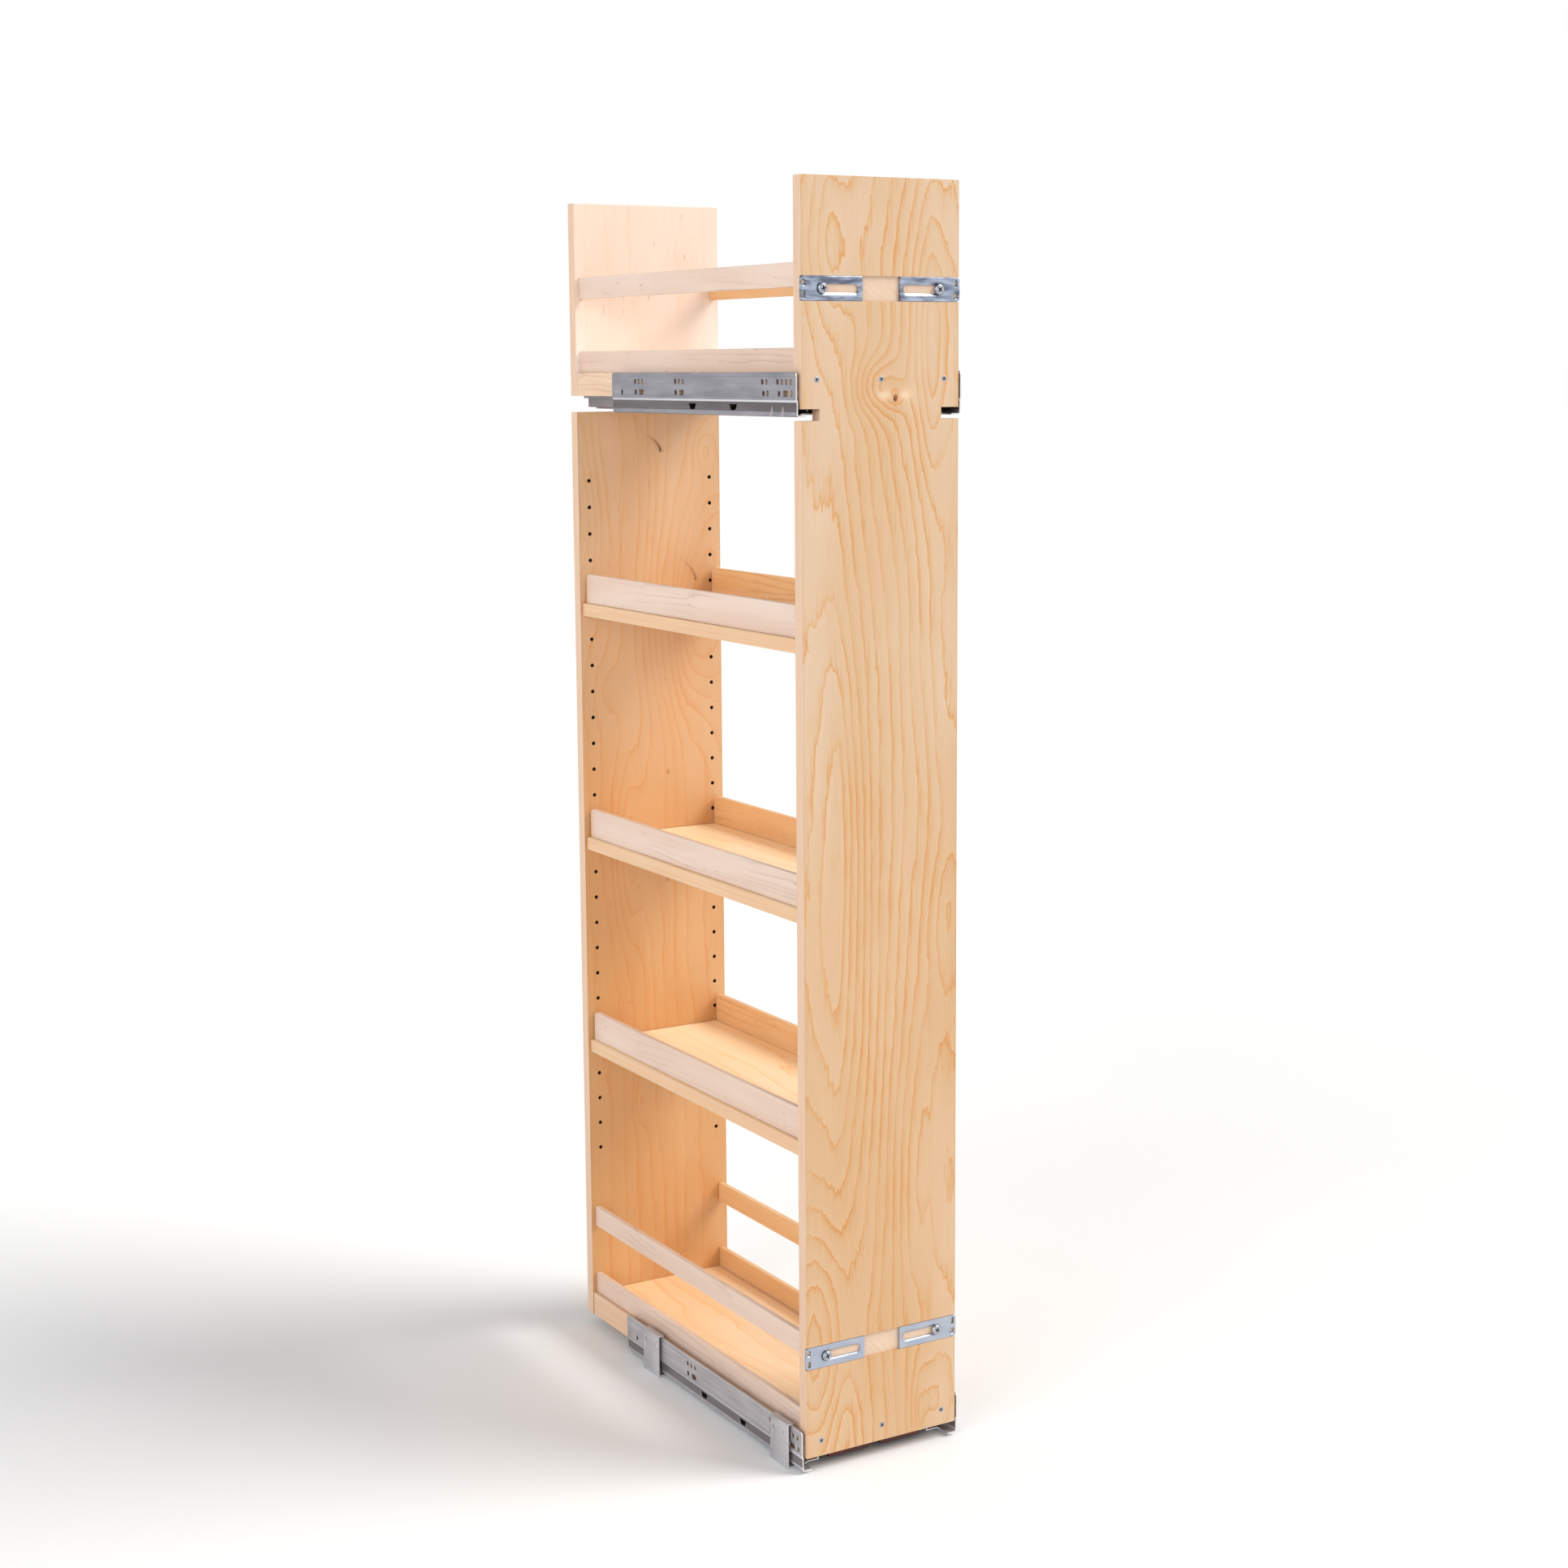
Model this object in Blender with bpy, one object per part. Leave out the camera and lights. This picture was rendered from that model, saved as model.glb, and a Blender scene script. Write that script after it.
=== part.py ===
"""Pull-out pantry organiser: a tall open-sided shelf unit that slides out of a kitchen cabinet.

Units are metres, +Z up, +X to the right seen from the front, -Y towards the front.
The origin is on the floor under the middle of the whole assembly, at rest with the unit pushed in.
"""
import math

import bmesh
import bpy
from mathutils import Matrix, Vector

MM = 0.001
GAP = 0.3 * MM                    # clearance between pieces that touch

# ---- Driving dimensions -------------------------------------------------------------------
WIDTH = 195.0 * MM                # wooden frame, side to side
DEPTH = 533.4 * MM                # front face of the front panel to back face of the rear panels
PANEL_HEIGHT = 1371.6 * MM
PANEL_THICKNESS = 15.0 * MM
BOARD_THICKNESS = 15.0 * MM
SLIDE_SIDE_GAP = 5.4 * MM         # frame side to the cabinet-side face of a fixed slide rail
RAIL_HEIGHT = 46.0 * MM           # flange height of a fixed slide rail
RAIL_LENGTH = 412.0 * MM
PIN_PITCH = 32.0 * MM
PIN_HOLE_DIAMETER = 5.0 * MM
PIN_HOLE_DEPTH = 10.0 * MM
PIN_HOLE_COUNT = 27
PIN_COLUMN_X = 83.0 * MM
FRONT_NOTCH_DEPTH = 22.0 * MM     # open notches in the front panel's sides, for the upper slides
FRONT_NOTCH_HEIGHT = 12.0 * MM

# ---- Heights above the floor --------------------------------------------------------------
SPACER_BELOW_PANEL = 18.0 * MM    # the spacers under the lower rails are the lowest pieces
PANEL_BOTTOM = SPACER_BELOW_PANEL
PANEL_TOP = PANEL_BOTTOM + PANEL_HEIGHT
REAR_BOTTOM = PANEL_BOTTOM - 4.0 * MM
REAR_SPLIT_BOTTOM = PANEL_BOTTOM + 1126.6 * MM
REAR_SPLIT_TOP = PANEL_BOTTOM + 1146.0 * MM
BOTTOM_SHELF_TOP = PANEL_BOTTOM + 25.0 * MM
TOP_SHELF_TOP = PANEL_BOTTOM + 1173.0 * MM
LOWER_RAIL_Z = PANEL_BOTTOM - 15.0 * MM
UPPER_RAIL_Z = PANEL_BOTTOM + 1127.5 * MM
FRONT_NOTCH_Z = PANEL_BOTTOM + 1123.7 * MM
TOP_PIN_Z = PANEL_BOTTOM + 1044.4 * MM
SHELF_PIN_INDEX = {"upper": 5, "middle": 14, "lower": 22}
SHELF_BELOW_PIN = 2.4 * MM        # underside of an adjustable shelf, below its pins' centres

# ---- Depth positions ----------------------------------------------------------------------
BRACKET_PROUD = 0.3 * MM
SCREW_HEAD_PROUD = 2.7 * MM       # in front of the bracket's face
FRONT_OVERHANG = BRACKET_PROUD + SCREW_HEAD_PROUD
FRONT_Y = -(DEPTH + FRONT_OVERHANG) / 2 + FRONT_OVERHANG
BACK_Y = FRONT_Y + DEPTH
INNER_FRONT_Y = FRONT_Y + PANEL_THICKNESS
INNER_BACK_Y = BACK_Y - PANEL_THICKNESS
RAIL_FRONT_Y = FRONT_Y + 2.3 * MM
RAIL_BACK_Y = RAIL_FRONT_Y + RAIL_LENGTH

# ---- Side rails, lips and aprons ----------------------------------------------------------
APRON_INSET = 0.8 * MM
APRON_THICKNESS = 15.0 * MM
SIDE_RAIL_INSET = 5.3 * MM
SIDE_RAIL_THICKNESS = 6.4 * MM
SIDE_RAIL_HEIGHT = 25.0 * MM
HIGH_RAIL_RISE = 87.0 * MM        # underside of a high rail above its shelf
SHELF_INSET = 2.6 * MM
LIP_INSET = 7.7 * MM
LIP_THICKNESS = 6.0 * MM
LIP_HEIGHT = 35.0 * MM
LIP_CORNER = 6.0 * MM
SHELF_END_CLEARANCE = 1.0 * MM
PIN_GROOVE_LENGTH = 11.0 * MM

# ---- Door brackets ------------------------------------------------------------------------
BRACKET_LENGTH = 75.5 * MM
BRACKET_HEIGHT = 25.0 * MM
BRACKET_THICKNESS = 2.5 * MM
BRACKET_INNER_X = 23.0 * MM
BRACKET_CORNER = 4.0 * MM
BRACKET_FROM_PANEL_END = 113.5 * MM
SLOT_INNER_X = 28.0 * MM
SLOT_OUTER_X = 76.6 * MM
SLOT_HEIGHT = 9.0 * MM
SLOT_BEVEL_WIDTH = 2.5 * MM       # drawn bevel around the slot, on the front
SLOT_BEVEL_DEPTH = 1.4 * MM
SLOT_SCREW_X = 72.0 * MM
DOOR_HOLE_X = 94.0 * MM
DOOR_HOLE_RISE = 6.2 * MM
DOOR_HOLE_DIAMETER = 5.4 * MM
DOOR_OVAL = (3.6 * MM, 7.6 * MM)
SCREW_HEAD_RADIUS = 5.6 * MM
SCREW_SHANK_RADIUS = 2.4 * MM
SCREW_BORE_DIAMETER = 5.6 * MM

# ---- Slides: u runs inward from the cabinet side, w upward from the rail's underside -------
SHEET = 1.5 * MM
CABINET_SIDE_X = WIDTH / 2 + SLIDE_SIDE_GAP
HOLE_ROW_W = (24.0 * MM, 36.0 * MM)
FLANGE_HOLE = (6.2 * MM, 6.2 * MM)
FLANGE_SLOT = (12.5 * MM, 6.2 * MM)
FLANGE_CORNER = 4.0 * MM
FLANGE_STEP_TOP = 17.0 * MM       # below this the flange stands one step further in
FLANGE_STEP = 1.0 * MM
RAIL_BEND = 3.0 * MM
RAIL_LEG_END = 14.0 * MM
RAIL_BASE_RISE = 2.0 * MM         # the base is raised between the leg and the inner lip
RAIL_REACH = 31.5 * MM
RAIL_LIP_TOP = 11.5 * MM
RAIL_FRONT_RELIEF = 16.0 * MM     # the base starts this far behind the flange's front end
WINDOW_DISTANCES = (132.0 * MM, 222.0 * MM)
WINDOW_W = (6.0 * MM, 12.5 * MM)
WINDOW_WIDTHS = (11.0 * MM, 19.0 * MM)
MIDDLE_U = (25.0 * MM, 37.0 * MM)
MIDDLE_TOP_W = 17.0 * MM
MIDDLE_HEM_W = 5.0 * MM           # lower edge of the middle member's outer side
MIDDLE_FOOT_W = 3.0 * MM          # underside of the foot on its inner side
MIDDLE_FOOT_RUN = 2.0 * MM
MIDDLE_FRONT_Y = FRONT_Y + 22.0 * MM
MIDDLE_BACK_Y = INNER_BACK_Y + 8.0 * MM
DRAWER_FRONT_Y = INNER_FRONT_Y + GAP
DRAWER_BACK_Y = BACK_Y - GAP
DRAWER_DROP = 3.0 * MM            # the drawer member's sides hang this far below the aprons
DRAWER_U = (22.4 * MM, 41.0 * MM)
ROLLER_PLAY = 0.4 * MM
CARRIAGE_LENGTH = 120.0 * MM
CARRIAGE_START = 48.0 * MM        # behind the middle of the fixed rail
SLIDE_NOTCH_X = (59.0 * MM, 82.0 * MM)
CLIP_X = (8.0 * MM, 59.5 * MM)
CLIP_LENGTH = 46.0 * MM
CLIP_LEVER_LENGTH = 14.0 * MM
CLIP_LEVER_RISE = 2.5 * MM        # underside of the finger lever above the rail's underside
CLIP_SLOPE_RUN = 6.0 * MM
CLIP_HEEL_RISE = 7.5 * MM         # underside of the clip's rear end above the lever's
SPACER_LENGTH = 38.0 * MM
SPACER_PROUD = 4.5 * MM           # the spacers stand this far outside the flange
SPACER_FOOT_U = 12.0 * MM
SPACER_HOOK_U = 3.0 * MM
SPACER_FRONT_DISTANCE = 41.0 * MM
SPACER_REAR_DISTANCE = 342.0 * MM

COLORS = {
    "birch_veneer": ((0.80, 0.60, 0.37, 1), 0.45, 0.0),
    "maple_rail": ((0.80, 0.62, 0.45, 1), 0.45, 0.0),
    "zinc_sheet": ((0.46, 0.45, 0.48, 1), 0.38, 1.0),
    "bright_zinc": ((0.75, 0.77, 0.80, 1), 0.25, 1.0),
    "nylon": ((0.85, 0.84, 0.80, 1), 0.50, 0.0),
    "brown_plastic": ((0.10, 0.03, 0.02, 1), 0.45, 0.0),
}


# ---- Small tools --------------------------------------------------------------------------
def clear_scene():
    for obj in list(bpy.data.objects):
        bpy.data.objects.remove(obj, do_unlink=True)


def material(name):
    found = bpy.data.materials.get(name)
    if found:
        return found
    color, roughness, metallic = COLORS[name]
    made = bpy.data.materials.new(name)
    made.use_nodes = True
    shader = made.node_tree.nodes["Principled BSDF"]
    shader.inputs["Base Color"].default_value = color
    shader.inputs["Roughness"].default_value = roughness
    shader.inputs["Metallic"].default_value = metallic
    made.diffuse_color = color
    return made


def finish(name, bm, finish_name, parent=None):
    """Turn a bmesh into a named object with its finish."""
    bmesh.ops.recalc_face_normals(bm, faces=bm.faces)
    mesh = bpy.data.meshes.new(name)
    bm.to_mesh(mesh)
    bm.free()
    obj = bpy.data.objects.new(name, mesh)
    bpy.context.scene.collection.objects.link(obj)
    if finish_name:
        mesh.materials.append(material(finish_name))
    obj.parent = parent
    return obj


def add_taper(bm, outline, far_outline, place, start, end):
    """Join two closed 2D outlines; place(a, b, t) gives the 3D point of outline point (a, b)."""
    rings = [[bm.verts.new(place(a, b, t)) for a, b in points]
             for points, t in ((outline, start), (far_outline, end))]
    count = len(outline)
    bm.faces.new(rings[0])
    bm.faces.new(list(reversed(rings[1])))
    for i in range(count):
        j = (i + 1) % count
        bm.faces.new((rings[0][i], rings[1][i], rings[1][j], rings[0][j]))


def add_prism(bm, outline, place, start, end):
    add_taper(bm, outline, outline, place, start, end)


def along_y(a, b, t):
    return (a, t, b)


def along_x(a, b, t):
    return (t, a, b)


def rectangle(a0, a1, b0, b1):
    return [(a0, b0), (a1, b0), (a1, b1), (a0, b1)]


def arc(center, radius, start_deg, end_deg, steps):
    """Points along an arc, both ends included."""
    points = []
    for i in range(steps + 1):
        angle = math.radians(start_deg + (end_deg - start_deg) * i / steps)
        points.append((center[0] + radius * math.cos(angle), center[1] + radius * math.sin(angle)))
    return points


def rounded_slot(center, length, height, steps=4):
    """Outline of a slot with round ends; a slot taller than it is long stands upright."""
    radius = min(length, height) / 2
    reach_a = max(length / 2 - radius, 0)
    reach_b = max(height / 2 - radius, 0)
    a, b = center
    if reach_a >= reach_b:
        ends = [((a + reach_a, b), -90), ((a - reach_a, b), 90)]
    else:
        ends = [((a, b + reach_b), 0), ((a, b - reach_b), 180)]
    outline = []
    for end, start in ends:
        outline += arc(end, radius, start, start + 180, steps)
    if reach_a == reach_b == 0:
        outline = outline[:steps] + outline[steps + 1:-1]
    return outline


def box(name, x, y, z, finish_name, parent=None):
    bm = bmesh.new()
    add_prism(bm, rectangle(x[0], x[1], z[0], z[1]), along_y, y[0], y[1])
    return finish(name, bm, finish_name, parent)


def cut(target, cutter_bm):
    """Subtract every body in cutter_bm from the target, as a live Boolean."""
    cutter = finish("cutter_" + target.name, cutter_bm, None, target.parent)
    cutter.hide_render = True
    cutter.display_type = "WIRE"
    modifier = target.modifiers.new("Cut", "BOOLEAN")
    modifier.operation = "DIFFERENCE"
    modifier.solver = "EXACT"
    modifier.object = cutter


def empty(name):
    obj = bpy.data.objects.new(name, None)
    bpy.context.scene.collection.objects.link(obj)
    return obj


# ---- Panels -------------------------------------------------------------------------------
def add_pin_holes(bm, face_y, into_y):
    """Two columns of blind shelf-pin holes bored into a panel from its inner face."""
    for column in (-PIN_COLUMN_X, PIN_COLUMN_X):
        for i in range(PIN_HOLE_COUNT):
            center = (column, TOP_PIN_Z - i * PIN_PITCH)
            hole = rounded_slot(center, PIN_HOLE_DIAMETER, PIN_HOLE_DIAMETER)
            add_prism(bm, hole, along_y, face_y - math.copysign(MM, into_y), face_y + into_y)


def bracket_heights():
    return {"lower": PANEL_BOTTOM + BRACKET_FROM_PANEL_END, "upper": PANEL_TOP - BRACKET_FROM_PANEL_END}


def build_front_panel(parent):
    half = WIDTH / 2
    panel = box("front_panel", (-half, half), (FRONT_Y, INNER_FRONT_Y), (PANEL_BOTTOM, PANEL_TOP),
                "birch_veneer", parent)
    bm = bmesh.new()
    groove_depth = BRACKET_THICKNESS + GAP - BRACKET_PROUD
    for height in bracket_heights().values():
        groove = rectangle(FRONT_Y - MM, FRONT_Y + groove_depth,
                           height - BRACKET_HEIGHT / 2 - GAP, height + BRACKET_HEIGHT / 2 + GAP)
        add_prism(bm, groove, along_x, -half - MM, half + MM)
    cut(panel, bm)

    bm = bmesh.new()
    for side in (-1, 1):
        notch = rectangle(side * (half - FRONT_NOTCH_DEPTH), side * (half + MM),
                          FRONT_NOTCH_Z, FRONT_NOTCH_Z + FRONT_NOTCH_HEIGHT)
        add_prism(bm, notch, along_y, FRONT_Y - MM, INNER_FRONT_Y + MM)
        for height in bracket_heights().values():
            bore = rounded_slot((side * SLOT_SCREW_X, height), SCREW_BORE_DIAMETER, SCREW_BORE_DIAMETER)
            add_prism(bm, bore, along_y, FRONT_Y, FRONT_Y + 12.5 * MM)
    add_pin_holes(bm, INNER_FRONT_Y, -PIN_HOLE_DEPTH)
    cut(panel, bm)


def build_rear_panels(parent):
    half = WIDTH / 2
    spans = {"rear_panel_upper": (REAR_SPLIT_TOP, PANEL_TOP),
             "rear_panel_lower": (REAR_BOTTOM, REAR_SPLIT_BOTTOM)}
    board_under = {"rear_panel_upper": TOP_SHELF_TOP - BOARD_THICKNESS,
                   "rear_panel_lower": BOTTOM_SHELF_TOP - BOARD_THICKNESS}
    for name, span in spans.items():
        panel = box(name, (-half, half), (INNER_BACK_Y, BACK_Y), span, "birch_veneer", parent)
        bm = bmesh.new()
        for side in (-1, 1):
            notch = rectangle(side * SLIDE_NOTCH_X[0], side * SLIDE_NOTCH_X[1],
                              span[0] - MM, board_under[name])
            add_prism(bm, notch, along_y, INNER_BACK_Y - MM, BACK_Y + MM)
        if name == "rear_panel_lower":
            add_pin_holes(bm, INNER_BACK_Y, PIN_HOLE_DEPTH)
        cut(panel, bm)


# ---- Fixed shelves, aprons and side rails --------------------------------------------------
def build_fixed_bay(level, shelf_top, apron_bottom, parent):
    """A fixed board with its two aprons and its two pairs of side rails."""
    half = WIDTH / 2
    depth = (INNER_FRONT_Y + GAP, INNER_BACK_Y - GAP)
    apron_in = half - APRON_INSET - APRON_THICKNESS
    box(level + "_shelf", (-apron_in + GAP, apron_in - GAP), depth,
        (shelf_top - BOARD_THICKNESS, shelf_top), "birch_veneer", parent)
    for side, side_name in ((-1, "left"), (1, "right")):
        box(f"{level}_apron_{side_name}", sorted((side * apron_in, side * (half - APRON_INSET))), depth,
            (apron_bottom, shelf_top), "maple_rail", parent)
        rail_out = half - SIDE_RAIL_INSET
        rail_x = sorted((side * (rail_out - SIDE_RAIL_THICKNESS), side * rail_out))
        for rail_name, foot in (("low", shelf_top + GAP), ("high", shelf_top + HIGH_RAIL_RISE)):
            box(f"{level}_{rail_name}_rail_{side_name}", rail_x, depth,
                (foot, foot + SIDE_RAIL_HEIGHT), "maple_rail", parent)


# ---- Adjustable shelves ---------------------------------------------------------------------
def build_adjustable_shelf(level, pin_index):
    """A board on four pins with a lip along each side; it lifts straight up off its pins."""
    half = WIDTH / 2
    pin_z = TOP_PIN_Z - pin_index * PIN_PITCH
    underside = pin_z - SHELF_BELOW_PIN
    parent = empty(f"shelf_{level}_place")
    parent.location = (0, 0, underside)
    depth = (INNER_FRONT_Y + SHELF_END_CLEARANCE, INNER_BACK_Y - SHELF_END_CLEARANCE)
    board = box(f"shelf_{level}", (-half + SHELF_INSET, half - SHELF_INSET), depth,
                (0, BOARD_THICKNESS), "birch_veneer", parent)

    bm = bmesh.new()
    pin_top = SHELF_BELOW_PIN
    groove_radius = PIN_HOLE_DIAMETER / 2 + GAP
    for column in (-PIN_COLUMN_X, PIN_COLUMN_X):
        arch = [(column - groove_radius, -MM), (column + groove_radius, -MM)]
        arch += arc((column, pin_top), groove_radius, 0, 180, 6)
        for end_y, inward in ((depth[0], 1), (depth[1], -1)):
            span = sorted((end_y - inward * MM, end_y + inward * PIN_GROOVE_LENGTH))
            add_prism(bm, arch, along_y, *span)
    cut(board, bm)

    lip_out = half - LIP_INSET
    lip_z = BOARD_THICKNESS + GAP
    for side, side_name in ((-1, "left"), (1, "right")):
        bm = bmesh.new()
        front_end, rear_end = depth[0] + MM, depth[1] - MM
        corner_z = lip_z + LIP_HEIGHT - LIP_CORNER
        outline = [(front_end, lip_z), (rear_end, lip_z)]
        outline += arc((rear_end - LIP_CORNER, corner_z), LIP_CORNER, 0, 90, 4)
        outline += arc((front_end + LIP_CORNER, corner_z), LIP_CORNER, 90, 180, 4)
        add_prism(bm, outline, along_x, *sorted((side * (lip_out - LIP_THICKNESS), side * lip_out)))
        finish(f"shelf_{level}_lip_{side_name}", bm, "maple_rail", parent)


# ---- Door brackets --------------------------------------------------------------------------
def build_door_bracket(level, height, side, side_name):
    """A slotted plate in its groove. It slides outward along its slot to reach the door."""
    parent = empty(f"door_bracket_{level}_{side_name}_place")
    parent.location = (0, FRONT_Y - BRACKET_PROUD, height)
    outer = BRACKET_INNER_X + BRACKET_LENGTH
    half_height = BRACKET_HEIGHT / 2
    corner = outer - BRACKET_CORNER
    plate = [(BRACKET_INNER_X, -half_height)]
    plate += arc((corner, -half_height + BRACKET_CORNER), BRACKET_CORNER, -90, 0, 4)
    plate += arc((corner, half_height - BRACKET_CORNER), BRACKET_CORNER, 0, 90, 4)
    plate += [(BRACKET_INNER_X, half_height)]

    def mirrored(a, b, t):
        return (side * a, t, -side * b)

    name = f"door_bracket_{level}_{side_name}"
    bm = bmesh.new()
    add_prism(bm, plate, mirrored, 0, BRACKET_THICKNESS)
    bracket = finish(name, bm, "bright_zinc", parent)

    bm = bmesh.new()
    slot_middle = ((SLOT_INNER_X + SLOT_OUTER_X) / 2, 0)
    slot_length = SLOT_OUTER_X - SLOT_INNER_X
    openings = [rounded_slot(slot_middle, slot_length, SLOT_HEIGHT),
                rounded_slot((DOOR_HOLE_X, DOOR_HOLE_RISE), DOOR_HOLE_DIAMETER, DOOR_HOLE_DIAMETER),
                rounded_slot((DOOR_HOLE_X, -DOOR_HOLE_RISE), *DOOR_OVAL)]
    for opening in openings:
        add_prism(bm, opening, mirrored, -MM, BRACKET_THICKNESS + MM)
    cut(bracket, bm)

    bm = bmesh.new()
    slope = SLOT_BEVEL_WIDTH / SLOT_BEVEL_DEPTH
    wide, narrow = (rounded_slot(slot_middle, slot_length + 2 * slope * (SLOT_BEVEL_DEPTH - depth),
                                 SLOT_HEIGHT + 2 * slope * (SLOT_BEVEL_DEPTH - depth), 6)
                    for depth in (-MM, SLOT_BEVEL_DEPTH + GAP))
    add_taper(bm, wide, narrow, mirrored, -MM, SLOT_BEVEL_DEPTH + GAP)
    cut(bracket, bm)


def build_bracket_screw(level, height, side, side_name, parent):
    """Screw with a cross recess; its head seats in the bevel of the bracket's slot."""
    plate_front = -BRACKET_PROUD
    front = plate_front - SCREW_HEAD_PROUD
    seat_depth = SLOT_BEVEL_DEPTH - GAP
    seat_radius = SLOT_HEIGHT / 2 - GAP / 2
    profile = [(0, front),
               (SCREW_HEAD_RADIUS * 0.6, front),
               (SCREW_HEAD_RADIUS * 0.9, front + 0.9 * MM),
               (SCREW_HEAD_RADIUS, front + 2 * MM),
               (SCREW_HEAD_RADIUS, plate_front + 0.4 * MM),
               (seat_radius, plate_front + seat_depth),
               (SCREW_SHANK_RADIUS, plate_front + seat_depth),
               (SCREW_SHANK_RADIUS, 9 * MM),
               (0, 12 * MM)]
    steps = 16
    bm = bmesh.new()
    rings = []
    for radius, y in profile:
        if radius == 0:
            rings.append([bm.verts.new((0, y, 0))])
            continue
        rings.append([bm.verts.new((radius * math.cos(i * math.tau / steps), y,
                                    radius * math.sin(i * math.tau / steps))) for i in range(steps)])
    for inner, outer in zip(rings, rings[1:]):
        for i in range(steps):
            j = (i + 1) % steps
            corners = [inner[i % len(inner)], inner[j % len(inner)],
                       outer[j % len(outer)], outer[i % len(outer)]]
            bm.faces.new(list(dict.fromkeys(corners)))
    screw = finish(f"bracket_screw_{level}_{side_name}", bm, "bright_zinc", parent)
    screw.location = (side * SLOT_SCREW_X, FRONT_Y, height)

    bm = bmesh.new()
    arm_length = 2.6 * MM
    arm_half_width = 0.6 * MM
    cross = []
    for quarter in range(4):
        angle = quarter * math.pi / 2
        for along, across in ((arm_half_width, -arm_half_width), (arm_length, -arm_half_width),
                              (arm_length, arm_half_width)):
            cross.append((along * math.cos(angle) - across * math.sin(angle),
                          along * math.sin(angle) + across * math.cos(angle)))
    tilt = Matrix.Rotation(math.radians(28), 4, "Y")

    def tilted(a, b, t):
        return tilt @ Vector((a, t, b))

    add_prism(bm, cross, tilted, front - MM, front + 1.4 * MM)
    cut(screw, bm)
    screw.modifiers["Cut"].object.location = screw.location


# ---- Slides ---------------------------------------------------------------------------------
def slide_point(side, rail_z):
    """Placing function of a slide section: u inward from the cabinet side, w up, t along Y."""
    def place(u, w, t):
        return (side * (CABINET_SIDE_X - u), t, rail_z + w)
    return place


def fixed_rail_section():
    """Folded sheet: flange with a shallow step, round bend, leg, raised base and inner lip."""
    bend = (FLANGE_STEP + RAIL_BEND, RAIL_BEND)
    step_fall = 1.5 * MM
    rise_run = 3.0 * MM
    seam = 0.6 * MM                # keeps the sheet as thick across its slopes
    outer = [(0, RAIL_HEIGHT), (0, FLANGE_STEP_TOP), (FLANGE_STEP, FLANGE_STEP_TOP - step_fall)]
    outer += arc(bend, RAIL_BEND, 180, 270, 4)
    outer += [(RAIL_LEG_END, 0), (RAIL_LEG_END + rise_run, RAIL_BASE_RISE),
              (RAIL_REACH, RAIL_BASE_RISE), (RAIL_REACH, RAIL_LIP_TOP)]
    inner = [(RAIL_REACH - SHEET, RAIL_LIP_TOP), (RAIL_REACH - SHEET, RAIL_BASE_RISE + SHEET),
             (RAIL_LEG_END + rise_run - seam, RAIL_BASE_RISE + SHEET), (RAIL_LEG_END - seam, SHEET)]
    inner += arc(bend, RAIL_BEND - SHEET, 270, 180, 4)
    inner += [(FLANGE_STEP + SHEET, FLANGE_STEP_TOP - step_fall + seam), (SHEET, FLANGE_STEP_TOP + seam),
              (SHEET, RAIL_HEIGHT)]
    return outer + inner


def flange_openings():
    """Screw and system holes of the flange: (distance from the rail's front end, row, length, height)."""
    pitch = 9.0 * MM
    front_group, pair, middle_group, rear_group = 10 * MM, 59 * MM, 241 * MM, 337 * MM
    holes = []
    for start, count in ((front_group, 4), (pair, 2), (middle_group, 3), (rear_group, 3)):
        holes += [(start + i * pitch, 1, *FLANGE_HOLE) for i in range(count)]
    for distance in (8 * MM, 34 * MM, pair - 2 * MM, pair + 7 * MM, 258 * MM, 353.5 * MM, 387 * MM):
        holes.append((distance, 0, *FLANGE_HOLE))
    for distance in (20.5 * MM, 244 * MM, 339.5 * MM):
        holes.append((distance, 0, *FLANGE_SLOT))
    return holes


def build_fixed_rail(name, side, rail_z, parent):
    place = slide_point(side, rail_z)
    bm = bmesh.new()
    add_prism(bm, fixed_rail_section(), place, RAIL_FRONT_Y, RAIL_BACK_Y)
    top = rail_z + RAIL_HEIGHT
    corners = [e for e in bm.edges
               if all(abs(v.co.z - top) < GAP for v in e.verts)
               and abs(e.verts[0].co.y - e.verts[1].co.y) < GAP]
    bmesh.ops.bevel(bm, geom=corners, offset=FLANGE_CORNER, segments=4, profile=0.5, affect="EDGES")
    rail = finish(name, bm, "zinc_sheet", parent)

    bm = bmesh.new()

    def through_flange(y, w, u):
        return place(u, w, y)

    for distance, row, length, height in flange_openings():
        hole = rounded_slot((RAIL_FRONT_Y + distance, HOLE_ROW_W[row]), length, height)
        add_prism(bm, hole, through_flange, -MM, 4 * MM)
    for distance in WINDOW_DISTANCES:
        center = RAIL_FRONT_Y + distance
        low_half, high_half = (width / 2 for width in WINDOW_WIDTHS)
        window = [(center - low_half, WINDOW_W[0]), (center + low_half, WINDOW_W[0]),
                  (center + high_half, WINDOW_W[1]), (center - high_half, WINDOW_W[1])]
        add_prism(bm, window, through_flange, -MM, 4 * MM)
    front_relief = rectangle(RAIL_LEG_END - MM, RAIL_REACH + 2.5 * MM, -MM, RAIL_LIP_TOP + 2.5 * MM)
    add_prism(bm, front_relief, place, RAIL_FRONT_Y - MM, RAIL_FRONT_Y + RAIL_FRONT_RELIEF)
    cut(rail, bm)


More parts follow.
